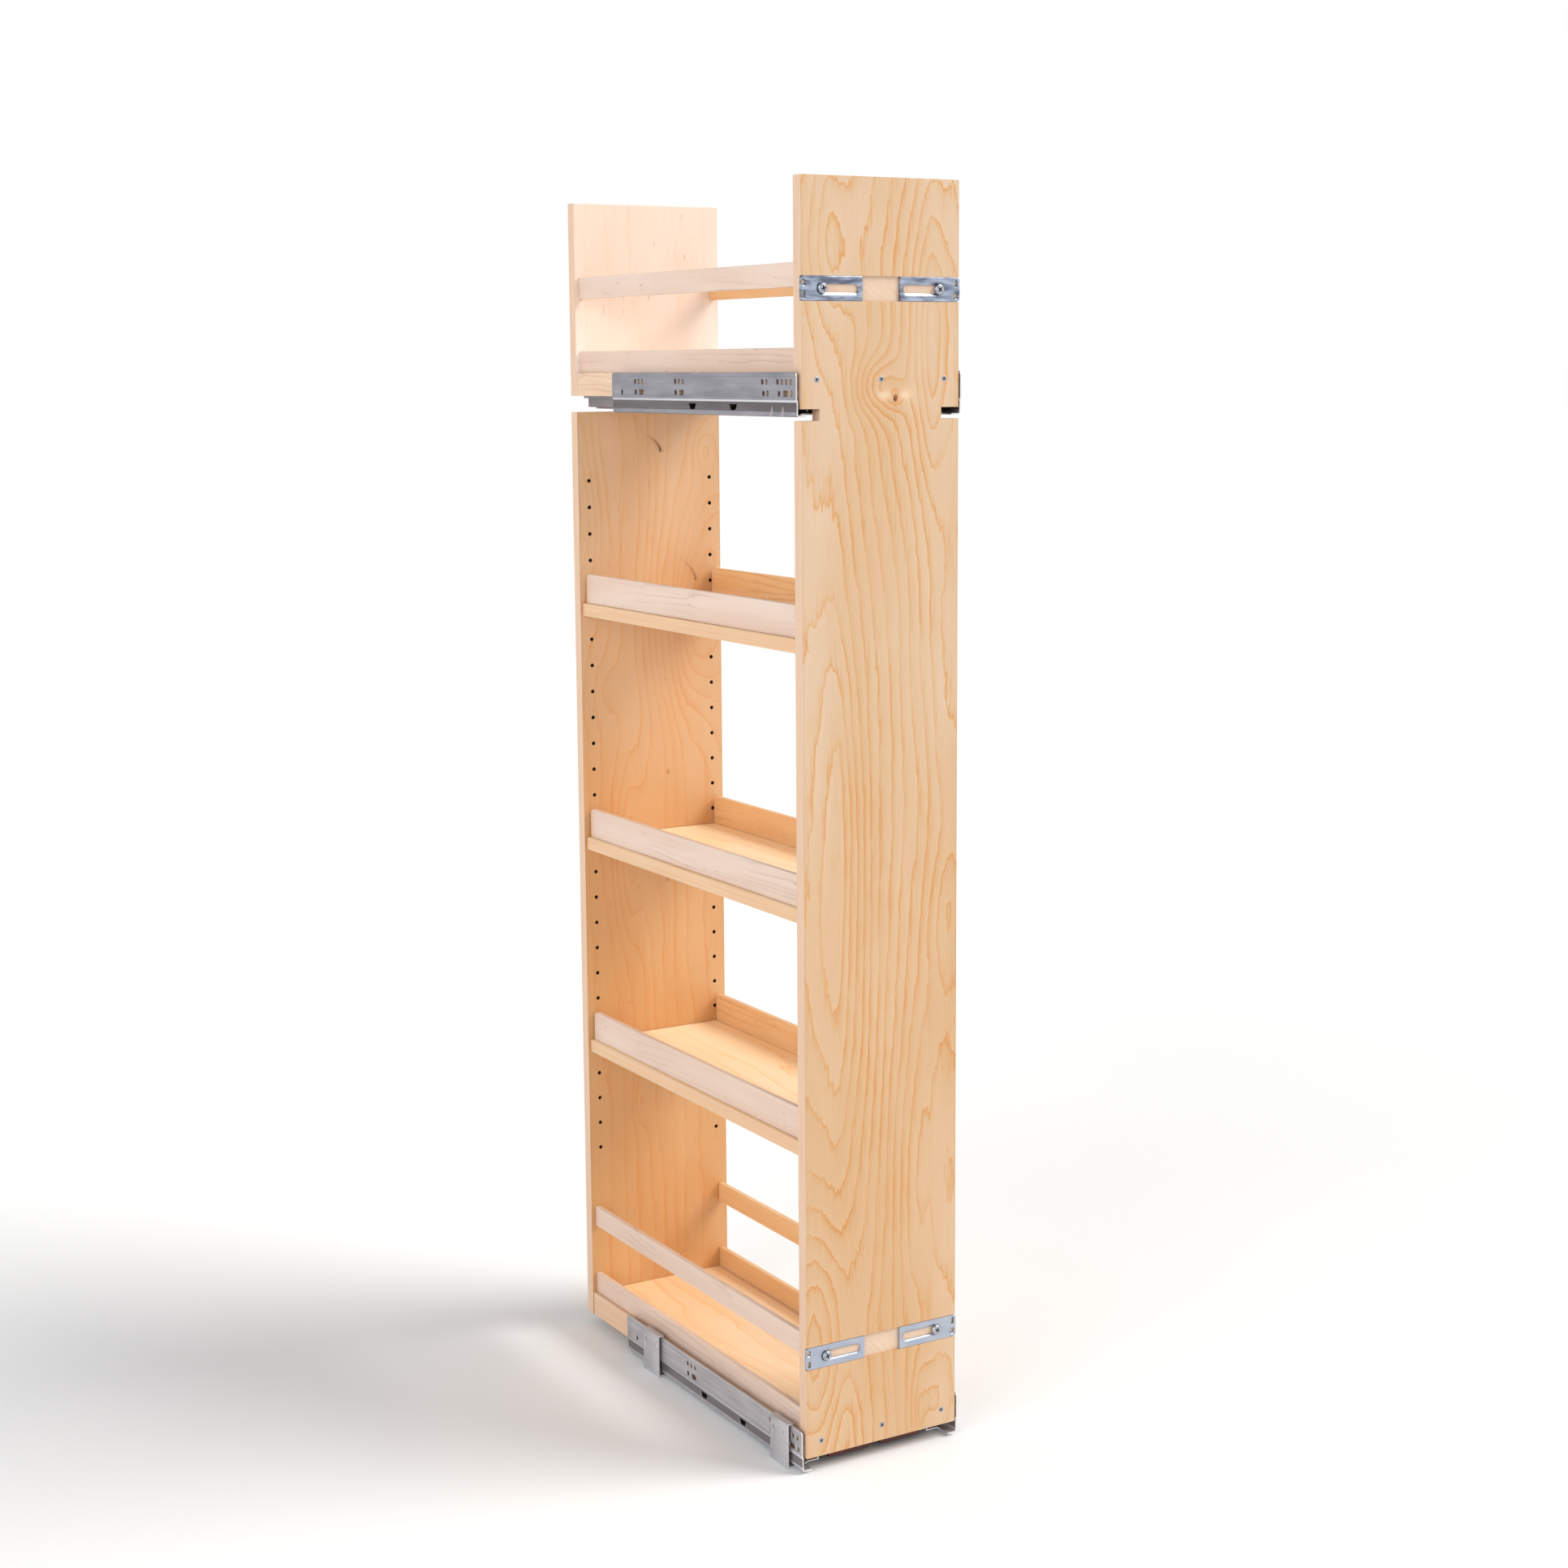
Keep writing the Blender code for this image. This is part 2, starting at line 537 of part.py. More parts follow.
def build_middle_member(name, side, rail_z, parent):
    """Inverted channel that straddles the fixed rail's lip, with a small foot on its inner side."""
    outer_u, inner_u = MIDDLE_U
    foot_end = inner_u + MIDDLE_FOOT_RUN
    foot_top = MIDDLE_FOOT_W + SHEET
    ceiling = MIDDLE_TOP_W - SHEET
    section = [(outer_u, MIDDLE_HEM_W), (outer_u, MIDDLE_TOP_W), (inner_u, MIDDLE_TOP_W),
               (inner_u, foot_top), (foot_end, foot_top), (foot_end, MIDDLE_FOOT_W),
               (inner_u - SHEET, MIDDLE_FOOT_W), (inner_u - SHEET, ceiling),
               (outer_u + SHEET, ceiling), (outer_u + SHEET, MIDDLE_HEM_W)]
    bm = bmesh.new()
    add_prism(bm, section, slide_point(side, rail_z), MIDDLE_FRONT_Y, MIDDLE_BACK_Y)
    finish(name, bm, "zinc_sheet", parent)


def build_roller_carriage(name, side, rail_z, parent):
    """Nylon cage that rolls on the fixed rail's lip inside the middle member."""
    outer_u = MIDDLE_U[0] + SHEET + ROLLER_PLAY
    inner_u = MIDDLE_U[1] - SHEET - ROLLER_PLAY
    top = MIDDLE_TOP_W - SHEET - ROLLER_PLAY
    slot = (RAIL_REACH - SHEET - ROLLER_PLAY, RAIL_REACH + ROLLER_PLAY)
    slot_top = RAIL_LIP_TOP + ROLLER_PLAY
    section = [(outer_u, MIDDLE_HEM_W), (outer_u, top), (inner_u, top), (inner_u, MIDDLE_HEM_W),
               (slot[1], MIDDLE_HEM_W), (slot[1], slot_top), (slot[0], slot_top), (slot[0], MIDDLE_HEM_W)]
    start = (RAIL_FRONT_Y + RAIL_BACK_Y) / 2 + CARRIAGE_START
    bm = bmesh.new()
    add_prism(bm, section, slide_point(side, rail_z), start, start + CARRIAGE_LENGTH)
    finish(name, bm, "nylon", parent)


def build_drawer_member(name, side, rail_z, shelf_underside, apron_bottom, parent):
    """Cap channel that carries the unit: its top lies under the fixed shelf."""
    top = shelf_underside - GAP - rail_z
    side_bottom = apron_bottom - DRAWER_DROP - rail_z
    outer_u, inner_u = DRAWER_U
    section = [(outer_u, side_bottom), (outer_u, top), (inner_u, top), (inner_u, side_bottom),
               (inner_u - SHEET, side_bottom), (inner_u - SHEET, top - SHEET),
               (outer_u + SHEET, top - SHEET), (outer_u + SHEET, side_bottom)]
    bm = bmesh.new()
    add_prism(bm, section, slide_point(side, rail_z), DRAWER_FRONT_Y, DRAWER_BACK_Y)
    finish(name, bm, "zinc_sheet", parent)


def build_slide_clip(name, side, rail_z, shelf_underside, parent):
    """Locking clip behind the front panel: a block beside the drawer member with a long finger tab."""
    top = shelf_underside - GAP
    start = INNER_FRONT_Y + GAP
    lever_z = rail_z + CLIP_LEVER_RISE
    slope_start = start + CLIP_LEVER_LENGTH
    block = [(start, top), (start, lever_z), (slope_start, lever_z),
             (slope_start + CLIP_SLOPE_RUN, lever_z + CLIP_SLOPE_RUN),
             (start + CLIP_LENGTH, lever_z + CLIP_HEEL_RISE), (start + CLIP_LENGTH, top)]
    bm = bmesh.new()
    add_prism(bm, block, along_x, *sorted((side * CLIP_X[0], side * CLIP_X[1])))
    finish(name, bm, "brown_plastic", parent)


def build_slide(level, side, side_name, rail_z, shelf_underside, apron_bottom, bodies):
    tag = f"{level}_{side_name}"
    build_fixed_rail(f"fixed_rail_{tag}", side, rail_z, bodies["cabinet_rails"])
    build_roller_carriage(f"roller_carriage_{tag}", side, rail_z, bodies["roller_carriages"])
    build_middle_member(f"middle_member_{tag}", side, rail_z, bodies["middle_members"])
    build_drawer_member(f"drawer_member_{tag}", side, rail_z, shelf_underside, apron_bottom, bodies["cart"])
    build_slide_clip(f"slide_clip_{tag}", side, rail_z, shelf_underside, bodies["cart"])


def build_slide_spacer(name, side, center_y, parent):
    """Folded plate that hooks over and under a lower rail and spaces it off the cabinet side."""
    outside = -SPACER_PROUD
    bottom = -LOWER_RAIL_Z
    top = RAIL_HEIGHT + GAP + SHEET
    section = [(outside, bottom), (SPACER_FOOT_U, bottom), (SPACER_FOOT_U, bottom + SHEET),
               (outside + SHEET, bottom + SHEET), (outside + SHEET, top - SHEET),
               (SPACER_HOOK_U, top - SHEET), (SPACER_HOOK_U, top), (outside, top)]
    place = slide_point(side, LOWER_RAIL_Z)
    bm = bmesh.new()
    add_prism(bm, section, place, center_y - SPACER_LENGTH / 2, center_y + SPACER_LENGTH / 2)
    spacer = finish(name, bm, "zinc_sheet", parent)

    bm = bmesh.new()

    def through_plate(y, w, u):
        return place(u, w, y)

    hole = rounded_slot((center_y + 13 * MM, 35 * MM), 3.6 * MM, 5 * MM)
    add_prism(bm, hole, through_plate, outside - MM, outside + SHEET + MM)
    cut(spacer, bm)


def build():
    clear_scene()
    bodies = {name: empty(name) for name in ("cabinet_rails", "roller_carriages", "middle_members", "cart")}
    cart = bodies["cart"]
    build_front_panel(cart)
    build_rear_panels(cart)
    fixed_bays = {"top": (TOP_SHELF_TOP, REAR_SPLIT_TOP), "bottom": (BOTTOM_SHELF_TOP, REAR_BOTTOM)}
    for level, (shelf_top, apron_bottom) in fixed_bays.items():
        build_fixed_bay(level, shelf_top, apron_bottom, cart)
    for level, pin_index in SHELF_PIN_INDEX.items():
        build_adjustable_shelf(level, pin_index)

    slides = {"upper": (UPPER_RAIL_Z, *fixed_bays["top"]), "lower": (LOWER_RAIL_Z, *fixed_bays["bottom"])}
    for side, side_name in ((-1, "left"), (1, "right")):
        for level, (rail_z, shelf_top, apron_bottom) in slides.items():
            build_slide(level, side, side_name, rail_z, shelf_top - BOARD_THICKNESS, apron_bottom, bodies)
        for spacer_name, distance in (("front", SPACER_FRONT_DISTANCE), ("rear", SPACER_REAR_DISTANCE)):
            build_slide_spacer(f"slide_spacer_{spacer_name}_{side_name}", side, RAIL_FRONT_Y + distance,
                               bodies["cabinet_rails"])
        for level, height in bracket_heights().items():
            build_door_bracket(level, height, side, side_name)
            build_bracket_screw(level, height, side, side_name, cart)


build()
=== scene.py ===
"""Looks of the pull-out pantry organiser: wood veneers, maple strips, plated steel and its small fittings.

Units are metres in the row frame: +Z up, -Y towards the front, X = 0 in the middle.
"""

import math

import bmesh
import bpy
from mathutils import Matrix, Vector


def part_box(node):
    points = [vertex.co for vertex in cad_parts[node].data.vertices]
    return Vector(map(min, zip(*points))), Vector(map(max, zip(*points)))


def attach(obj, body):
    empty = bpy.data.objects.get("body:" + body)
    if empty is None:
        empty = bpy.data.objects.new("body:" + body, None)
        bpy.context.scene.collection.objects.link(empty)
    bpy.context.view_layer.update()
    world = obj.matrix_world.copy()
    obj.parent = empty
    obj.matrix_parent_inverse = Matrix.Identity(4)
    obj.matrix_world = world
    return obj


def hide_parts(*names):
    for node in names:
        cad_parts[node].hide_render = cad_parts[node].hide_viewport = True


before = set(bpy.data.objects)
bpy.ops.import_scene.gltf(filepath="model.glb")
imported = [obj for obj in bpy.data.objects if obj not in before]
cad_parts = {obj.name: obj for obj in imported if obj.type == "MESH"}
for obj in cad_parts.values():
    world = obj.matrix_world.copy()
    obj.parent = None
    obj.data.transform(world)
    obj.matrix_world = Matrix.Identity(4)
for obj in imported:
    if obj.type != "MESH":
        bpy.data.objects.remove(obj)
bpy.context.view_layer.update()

MM = 0.001

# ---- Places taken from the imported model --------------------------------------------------
FRONT_LOW, FRONT_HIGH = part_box("front_panel")
REAR_LOW, REAR_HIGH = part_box("rear_panel_lower")
REAR_TOP_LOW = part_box("rear_panel_upper")[0]
LOWER_RAIL_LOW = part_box("fixed_rail_lower_left")[0]
UPPER_RAIL_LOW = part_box("fixed_rail_upper_left")[0]
HALF_WIDTH = FRONT_HIGH.x

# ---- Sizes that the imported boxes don't give ------------------------------------------------
PIN_COLUMN_X = 83.0 * MM
PIN_RADIUS = 2.5 * MM
PIN_HOLE_DEPTH = 10.0 * MM


def srgb(red, green, blue):
    """Linear colour from display values of 0 to 255."""
    linear = []
    for value in (red, green, blue):
        share = value / 255
        linear.append(share / 12.92 if share <= 0.04045 else ((share + 0.055) / 1.055) ** 2.4)
    return (*linear, 1.0)


WOOD_DEPTH = 0.86                 # wood returns this share of the light that its display tone suggests


def wood(red, green, blue):
    """Linear wood colour from display values of 0 to 255."""
    return (*(WOOD_DEPTH * value for value in srgb(red, green, blue)[:3]), 1.0)


# ---- Node tree helper ------------------------------------------------------------------------
class Nodes:
    """Short calls that add nodes to a material or a node group."""

    def __init__(self, tree):
        self.tree = tree

    def add(self, kind, **settings):
        node = self.tree.nodes.new(kind)
        for key, value in settings.items():
            setattr(node, key, value)
        return node

    def feed(self, socket, value):
        if isinstance(value, bpy.types.NodeSocket):
            self.tree.links.new(value, socket)
        else:
            socket.default_value = value

    def math(self, operation, *values):
        node = self.add("ShaderNodeMath", operation=operation)
        for socket, value in zip(node.inputs, values):
            self.feed(socket, value)
        return node.outputs[0]

    def total(self, *values):
        result = values[0]
        for value in values[1:]:
            result = self.math("ADD", result, value)
        return result

    def times(self, *values):
        result = values[0]
        for value in values[1:]:
            result = self.math("MULTIPLY", result, value)
        return result

    def map(self, value, low, high, to_low=0.0, to_high=1.0, smooth=False):
        node = self.add("ShaderNodeMapRange", clamp=True,
                        interpolation_type="SMOOTHSTEP" if smooth else "LINEAR")
        for socket, item in zip(node.inputs, (value, low, high, to_low, to_high)):
            self.feed(socket, item)
        return node.outputs[0]

    def axes(self, vector):
        node = self.add("ShaderNodeSeparateXYZ")
        self.feed(node.inputs[0], vector)
        return node.outputs[0], node.outputs[1], node.outputs[2]

    def vector(self, x, y, z):
        node = self.add("ShaderNodeCombineXYZ")
        for socket, value in zip(node.inputs, (x, y, z)):
            self.feed(socket, value)
        return node.outputs[0]

    def scaled(self, vector, factors, shift=(0, 0, 0)):
        node = self.add("ShaderNodeVectorMath", operation="MULTIPLY_ADD")
        self.feed(node.inputs[0], vector)
        node.inputs[1].default_value = factors
        node.inputs[2].default_value = shift
        return node.outputs[0]

    def noise(self, vector, factors=(1, 1, 1), shift=(0, 0, 0), detail=2.0, roughness=0.5):
        node = self.add("ShaderNodeTexNoise")
        self.feed(node.inputs["Vector"], self.scaled(vector, factors, shift))
        node.inputs["Scale"].default_value = 1.0
        node.inputs["Detail"].default_value = detail
        node.inputs["Roughness"].default_value = roughness
        return node.outputs[0]

    def mix(self, share, first, second, blend="MIX"):
        node = self.add("ShaderNodeMix", data_type="RGBA", blend_type=blend, clamp_factor=True)
        for socket, value in ((node.inputs[0], share), (node.inputs[6], first), (node.inputs[7], second)):
            self.feed(socket, value)
        return node.outputs[2]

    def within(self, value, low, high, soft):
        """1 between low and high, fading to 0 over soft on each side."""
        rise = self.map(value, low - soft, low, smooth=True)
        fall = self.map(value, high, high + soft, 1.0, 0.0, smooth=True)
        return self.times(rise, fall)


class Surface(Nodes):
    """A Principled material with its object-space point and normal at hand."""

    def __init__(self, name):
        self.material = bpy.data.materials.new(name)
        self.material.use_nodes = True
        super().__init__(self.material.node_tree)
        self.shader = self.tree.nodes["Principled BSDF"]
        coordinates = self.add("ShaderNodeTexCoord")
        self.point = coordinates.outputs["Object"]
        self.normal = coordinates.outputs["Normal"]

    def set(self, **sockets):
        for name, value in sockets.items():
            self.feed(self.shader.inputs[name.replace("_", " ")], value)

    def bump(self, height, strength, distance):
        node = self.add("ShaderNodeBump")
        node.inputs["Strength"].default_value = strength
        node.inputs["Distance"].default_value = distance
        self.feed(node.inputs["Height"], height)
        self.feed(self.shader.inputs["Normal"], node.outputs[0])


# ---- Wood ------------------------------------------------------------------------------------
TIP_ROUNDING, TIP_DROP = 0.03, 0.17    # soften a pointed swell's tip; the drop is the rounding's root
LINE_STEP = 0.6 * MM                   # over which the slope of the growth layers is taken
FEWEST_LAYERS = 22.0                   # per metre; keeps lines from spreading where layers lie flat
LINE_THICKNESS = 1.7 * MM
STRIP_LINE_THICKNESS = 0.8 * MM


def growth_group(name, seed, slope, bend, noises, features):
    """Node group: the height of a veneer's growth layers at (across, along, offset).

    slope and bend make the lines run along the grain; noises are (across scale, along scale, strength).
    features are (across, along, half width, half length, rise, pointed), the first four in millimetres and
    the rise in layers. Rounded swells give rings, and pointed ones the sharp tips of a cathedral figure.
    """
    group = bpy.data.node_groups.new(name, "ShaderNodeTree")
    group.interface.new_socket("Vector", in_out="INPUT", socket_type="NodeSocketVector")
    group.interface.new_socket("Height", in_out="OUTPUT", socket_type="NodeSocketFloat")
    n = Nodes(group)
    point = n.add("NodeGroupInput").outputs[0]
    across, along, _ = n.axes(point)
    height = n.times(across, slope)
    if bend:
        strength, middle, reach = bend
        steep = n.math("TANH", n.times(n.math("SUBTRACT", across, middle), 1 / reach))
        height = n.total(height, n.times(steep, strength))
    for i, (across_scale, along_scale, strength) in enumerate(noises):
        shift = (seed + 7.3 * i, seed * 1.7 - 3.1 * i, seed)
        value = n.noise(point, (across_scale, along_scale, 1.0), shift, detail=1.5)
        height = n.total(height, n.times(n.math("SUBTRACT", value, 0.5), strength))
    for center, place, half_width, half_length, rise, pointed in features:
        du = n.times(n.math("SUBTRACT", across, center * MM), 1 / (half_width * MM))
        dv = n.times(n.math("SUBTRACT", along, place * MM), 1 / (half_length * MM))
        du_squared = n.times(du, du)
        if pointed:
            du_squared = n.math("SUBTRACT", n.math("SQRT", n.total(du_squared, TIP_ROUNDING)), TIP_DROP)
        spread = n.math("EXPONENT", n.times(n.total(du_squared, n.times(dv, dv)), -1.0))
        height = n.total(height, n.times(spread, rise))
    n.feed(n.add("NodeGroupOutput").inputs[0], height)
    return group


def growth_lines(n, group, place, thickness):
    """Lines where growth layers meet the face.

    Returns the line itself, the glow behind it and the pale early wood before it.
    """
    def height_at(vector):
        node = n.add("ShaderNodeGroup", node_tree=group)
        n.feed(node.inputs[0], vector)
        return node.outputs[0]

    here = height_at(place)
    side = height_at(n.scaled(place, (1, 1, 1), (LINE_STEP, 0, 0)))
    ahead = height_at(n.scaled(place, (1, 1, 1), (0, LINE_STEP, 0)))
    du = n.math("SUBTRACT", side, here)
    dv = n.math("SUBTRACT", ahead, here)
    steepness = n.math("SQRT", n.total(n.times(du, du), n.times(dv, dv)))
    per_metre = n.math("MAXIMUM", n.times(steepness, 1 / LINE_STEP), FEWEST_LAYERS)
    part = n.math("FRACT", here)
    uneven = n.map(n.noise(place, (55, 24, 3), (2.0, 7.0, 1.0), detail=2), 0.3, 0.7, 0.55, 1.7)
    behind = n.math("DIVIDE", part, n.times(per_metre, uneven))
    before = n.math("DIVIDE", n.math("SUBTRACT", 1.0, part), n.times(per_metre, uneven))

    def fading(distance, reach):
        return n.math("EXPONENT", n.times(distance, -1 / (reach * thickness)))

    line = n.math("MAXIMUM", fading(behind, 1.0), fading(before, 0.35))
    return line, n.times(fading(behind, 2.2), 0.5), fading(before, 1.6)


GROWTH_STAIN = (0.96, 0.74, 0.43, 1.0)
EARLY_WOOD = (1.06, 1.08, 1.16, 1.0)
FIBRE_STAIN = (0.84, 0.72, 0.58, 1.0)
CLOUD_STAIN = (1.0, 0.80, 0.60, 1.0)
LOWER_FRONT_STAIN = (0.98, 0.90, 0.78, 1.0)
LOWER_REAR_TONE_AND_PAINTED_SHADE = (0.97, 0.88, 0.70, 1.0)
PALE_BACK_STAIN = (0.97, 0.88, 0.74, 1.0)


def wood_color(n, group, place, tones, line_strength, seed):
    """Base tone, growth lines, fibres and pores; returns the colour, line mask and fibre height."""
    light, warm = tones
    broad = n.noise(place, (9, 2.4, 3), (seed, 2.0, seed), detail=2)
    color = n.mix(n.map(broad, 0.32, 0.68, smooth=True), light, warm)
    lines, glow, pale = growth_lines(n, group, place, LINE_THICKNESS)
    faint = n.noise(place, (24, 9, 4), (4.0 + seed, 0.5, 1.0), detail=2)
    strength = n.times(n.map(faint, 0.34, 0.62, 0.36, 1.0), line_strength)
    share = n.times(lines, strength)
    color = n.mix(n.times(pale, strength), color, EARLY_WOOD, "MULTIPLY")
    color = n.mix(share, color, GROWTH_STAIN, "MULTIPLY")
    color = n.mix(n.times(glow, strength), color, GROWTH_STAIN, "MULTIPLY")
    fibre = n.noise(place, (950, 22, 60), (seed, 0, 0), detail=2, roughness=0.6)
    color = n.mix(n.map(fibre, 0.3, 0.75, 0.0, 0.22), color, FIBRE_STAIN, "MULTIPLY")
    pores = n.noise(place, (1500, 210, 60), (seed, 5, 0), detail=0)
    color = n.mix(n.map(pores, 0.70, 0.80, 0.0, 0.25), color, FIBRE_STAIN, "MULTIPLY")
    cloud = n.noise(place, (26, 15, 8), (seed, 9, 3), detail=2)
    color = n.mix(n.map(cloud, 0.35, 0.7, 0.0, 0.10), color, CLOUD_STAIN, "MULTIPLY")
    return color, share, fibre


def facing(n, component):
    """1 where the face looks along that axis, either way."""
    return n.math("GREATER_THAN", n.math("ABSOLUTE", component), 0.7)


def satin_lacquer(s, fibre, share=None):
    """Clear satin coat over a faint relief of fibres, with the growth lines a little sunk."""
    s.set(Roughness=s.map(fibre, 0.25, 0.75, 0.40, 0.54), Coat_Weight=0.18, Coat_Roughness=0.28, IOR=1.48)
    height = fibre if share is None else s.math("SUBTRACT", fibre, s.times(share, 0.3))
    s.bump(height, 0.10, 0.25 * MM)


def banding(s, grain, light, dark, seed):
    """Straight-grained strip of veneer on a board's edge; grain is its scale along X, Y and Z."""
    streak = s.noise(s.point, grain, (seed, 1, 0), detail=3)
    return s.mix(s.map(streak, 0.3, 0.7), light, dark)


PLY_PITCH = 3.4 * MM                   # one pale and one dark layer
BAND_THICKNESS = 0.8 * MM
GLUE_LINE = 0.3 * MM


def ply_layers(s, y):
    """The plywood's layers, on an edge without banding."""
    layer = s.math("FRACT", s.times(y, 1 / PLY_PITCH))
    layers = s.mix(s.within(layer, 0.08, 0.46, 0.05), wood(214, 170, 120), wood(168, 118, 74))
    torn = s.map(s.noise(s.point, (300, 30, 300)), 0.3, 0.7, 0.0, 0.5)
    return s.mix(torn, layers, wood(225, 186, 140))


def pin_hole_painted_shade(s, x, y, inner_face):
    """1 on the walls and floors of the shelf-pin holes, where shade is painted."""
    face_y, direction = inner_face
    depth = s.times(s.math("SUBTRACT", y, face_y), direction)
    column = s.within(s.math("ABSOLUTE", x), PIN_COLUMN_X - PIN_RADIUS - 0.5 * MM,
                      PIN_COLUMN_X + PIN_RADIUS + 0.5 * MM, 0.1 * MM)
    return s.times(column, s.math("GREATER_THAN", depth, 0.25 * MM),
                   s.math("LESS_THAN", depth, PIN_HOLE_DEPTH + 0.5 * MM))


def panel_material(name, group, tones, line_strength, inner_face, extras, seed):
    """Upright veneered panel with edge banding, ply layers underneath and painted shade in the drilled
    holes.

    inner_face is the Y of the drilled face and the direction, 1 or -1, in which the holes go.
    extras adds what only this panel's faces show.
    """
    s = Surface(name)
    x, y, z = s.axes(s.point)
    nx, _, nz = s.axes(s.normal)
    place = s.vector(x, z, s.times(y, 4.0))
    color, share, fibre = wood_color(s, group, place, tones, line_strength, seed)
    color = extras(s, x, z, place, color)
    glue = s.within(s.math("ABSOLUTE", x), HALF_WIDTH - BAND_THICKNESS - GLUE_LINE,
                    HALF_WIDTH - BAND_THICKNESS, 0.25 * MM)
    color = s.mix(s.times(glue, 0.22), color, wood(150, 100, 60))
    color = s.mix(facing(s, nx), color,
                  banding(s, (60, 520, 9), wood(238, 204, 176), wood(229, 189, 155), seed))
    color = s.mix(s.math("LESS_THAN", nz, -0.7), color, ply_layers(s, y))
    # Painted shade darkens the walls and floors of the pin holes.
    color = s.mix(s.times(pin_hole_painted_shade(s, x, y, inner_face), 0.88), color, wood(46, 26, 14))
    s.set(Base_Color=color)
    satin_lacquer(s, fibre, share)
    return s.material


def blot(s, x, z, center, half_width, half_height):
    """Soft round spot, 1 in its middle."""
    du = s.times(s.math("SUBTRACT", x, center[0]), 1 / half_width)
    dv = s.times(s.math("SUBTRACT", z, center[1]), 1 / half_height)
    return s.math("EXPONENT", s.times(s.total(s.times(du, du), s.times(dv, dv)), -1.0))


KNOT = (17.5 * MM, FRONT_LOW.z + 1146 * MM)


def knot_marks(s, x, z, place, color):
    """A small knot: warm halo, a glint of turned grain on each side, brown core and dark heart."""
    across, height = KNOT
    wobble = s.map(s.noise(place, (420, 300, 1), detail=3), 0.3, 0.7, 0.75, 1.35)
    color = s.mix(s.times(blot(s, x, z, KNOT, 9 * MM, 11 * MM), 0.55), color, wood(214, 150, 90))
    for side in (-1, 1):
        glint = blot(s, x, z, (across + side * 13 * MM, height + 3 * MM), 8 * MM, 5 * MM)
        color = s.mix(s.times(glint, 0.6), color, wood(250, 226, 196))
    core = s.times(blot(s, x, z, KNOT, 3.2 * MM, 4.8 * MM), wobble)
    color = s.mix(s.map(core, 0.35, 0.7, smooth=True), color, wood(150, 82, 34))
    heart = s.times(blot(s, x, z, (across - 1 * MM, height - 1.5 * MM), 1.6 * MM, 2.4 * MM), wobble)
    return s.mix(s.map(heart, 0.4, 0.7), color, wood(74, 34, 12))


def knot_seam(s, x, z, place, color):
    """The thin dark seam that runs down from the knot."""
    across, height = KNOT
    sway = s.times(s.math("SUBTRACT", s.noise(place, (0, 14, 0), detail=1), 0.5), 2 * MM)
    below = s.within(z, height - 135 * MM, height - 6 * MM, 20 * MM)
    seam = s.within(s.total(x, sway), across - 0.3 * MM, across + 0.2 * MM, 0.5 * MM)
    return s.mix(s.times(seam, below, 0.28), color, wood(190, 134, 86))


def front_extras(s, x, z, place, color):
    """A warmer lower half, the knot and its seam, and the diagonal grain on the bracket grooves' floors."""
    warmer = s.within(z, FRONT_LOW.z + 170 * MM, FRONT_LOW.z + 560 * MM, 300 * MM)
    color = s.mix(warmer, color, LOWER_FRONT_STAIN, "MULTIPLY")
    color = knot_marks(s, x, z, place, color)
    color = knot_seam(s, x, z, place, color)
    _, y, _ = s.axes(s.point)
    _, ny, _ = s.axes(s.normal)
    sunk = s.times(s.math("GREATER_THAN", y, FRONT_LOW.y + 1.2 * MM), s.math("LESS_THAN", ny, -0.5))
    diagonal = s.noise(s.vector(s.total(x, z), s.math("SUBTRACT", x, z), 0.0), (520, 26, 1), detail=3)
    groove_floor = s.mix(s.map(diagonal, 0.3, 0.75), wood(232, 206, 182), wood(223, 187, 156))
    return s.mix(sunk, color, groove_floor)


def flecks(s, place, color, strength):
    """Short dark dashes along the grain."""
    speck = s.noise(place, (260, 62, 90), (3, 1, 8), detail=0)
    return s.mix(s.times(s.map(speck, 0.79, 0.83), strength), color, wood(140, 84, 46))


# end across, end above the panel's bottom, length, curl per metre, strength
MINERAL_STREAKS = (
    (15 * MM, 1081 * MM, 27 * MM, 43.0, 0.95), (62 * MM, 921 * MM, 34 * MM, 26.0, 0.55),
    (20 * MM, 682 * MM, 9 * MM, 20.0, 0.45), (17 * MM, 546 * MM, 8 * MM, -12.0, 0.4))


def rear_extras(s, x, z, place, color):
    """A deeper, warmer tone low down, with the lower bays' shade and warm bounce light painted in, mineral
    streaks darkest at their lower ends, and a few short flecks.
    """
    # Partly the veneer's own tone, partly painted shade and warm bounce light of the lower bays.
    deeper = s.map(z, REAR_LOW.z + 420 * MM, REAR_LOW.z + 980 * MM, 1.0, 0.0, smooth=True)
    color = s.mix(deeper, color, LOWER_REAR_TONE_AND_PAINTED_SHADE, "MULTIPLY")
    for end_x, end_z, length, curl, strength in MINERAL_STREAKS:
        up = s.math("SUBTRACT", z, REAR_LOW.z + end_z)
        off = s.math("SUBTRACT", x, s.total(end_x, s.times(up, up, -curl)))
        fade = s.times(s.map(up, -1 * MM, 1 * MM), s.map(up, 0.0, length, 1.0, 0.0, smooth=True))
        glow = s.times(s.within(off, -1.2 * MM, 1.2 * MM, 5 * MM), fade)
        color = s.mix(s.times(glow, 0.45 * strength), color, wood(172, 108, 54))
        line = s.times(s.within(off, -0.8 * MM, 0.8 * MM, 0.7 * MM), fade)
        color = s.mix(s.times(line, strength), color, wood(98, 46, 12))
    return flecks(s, place, color, 0.15)


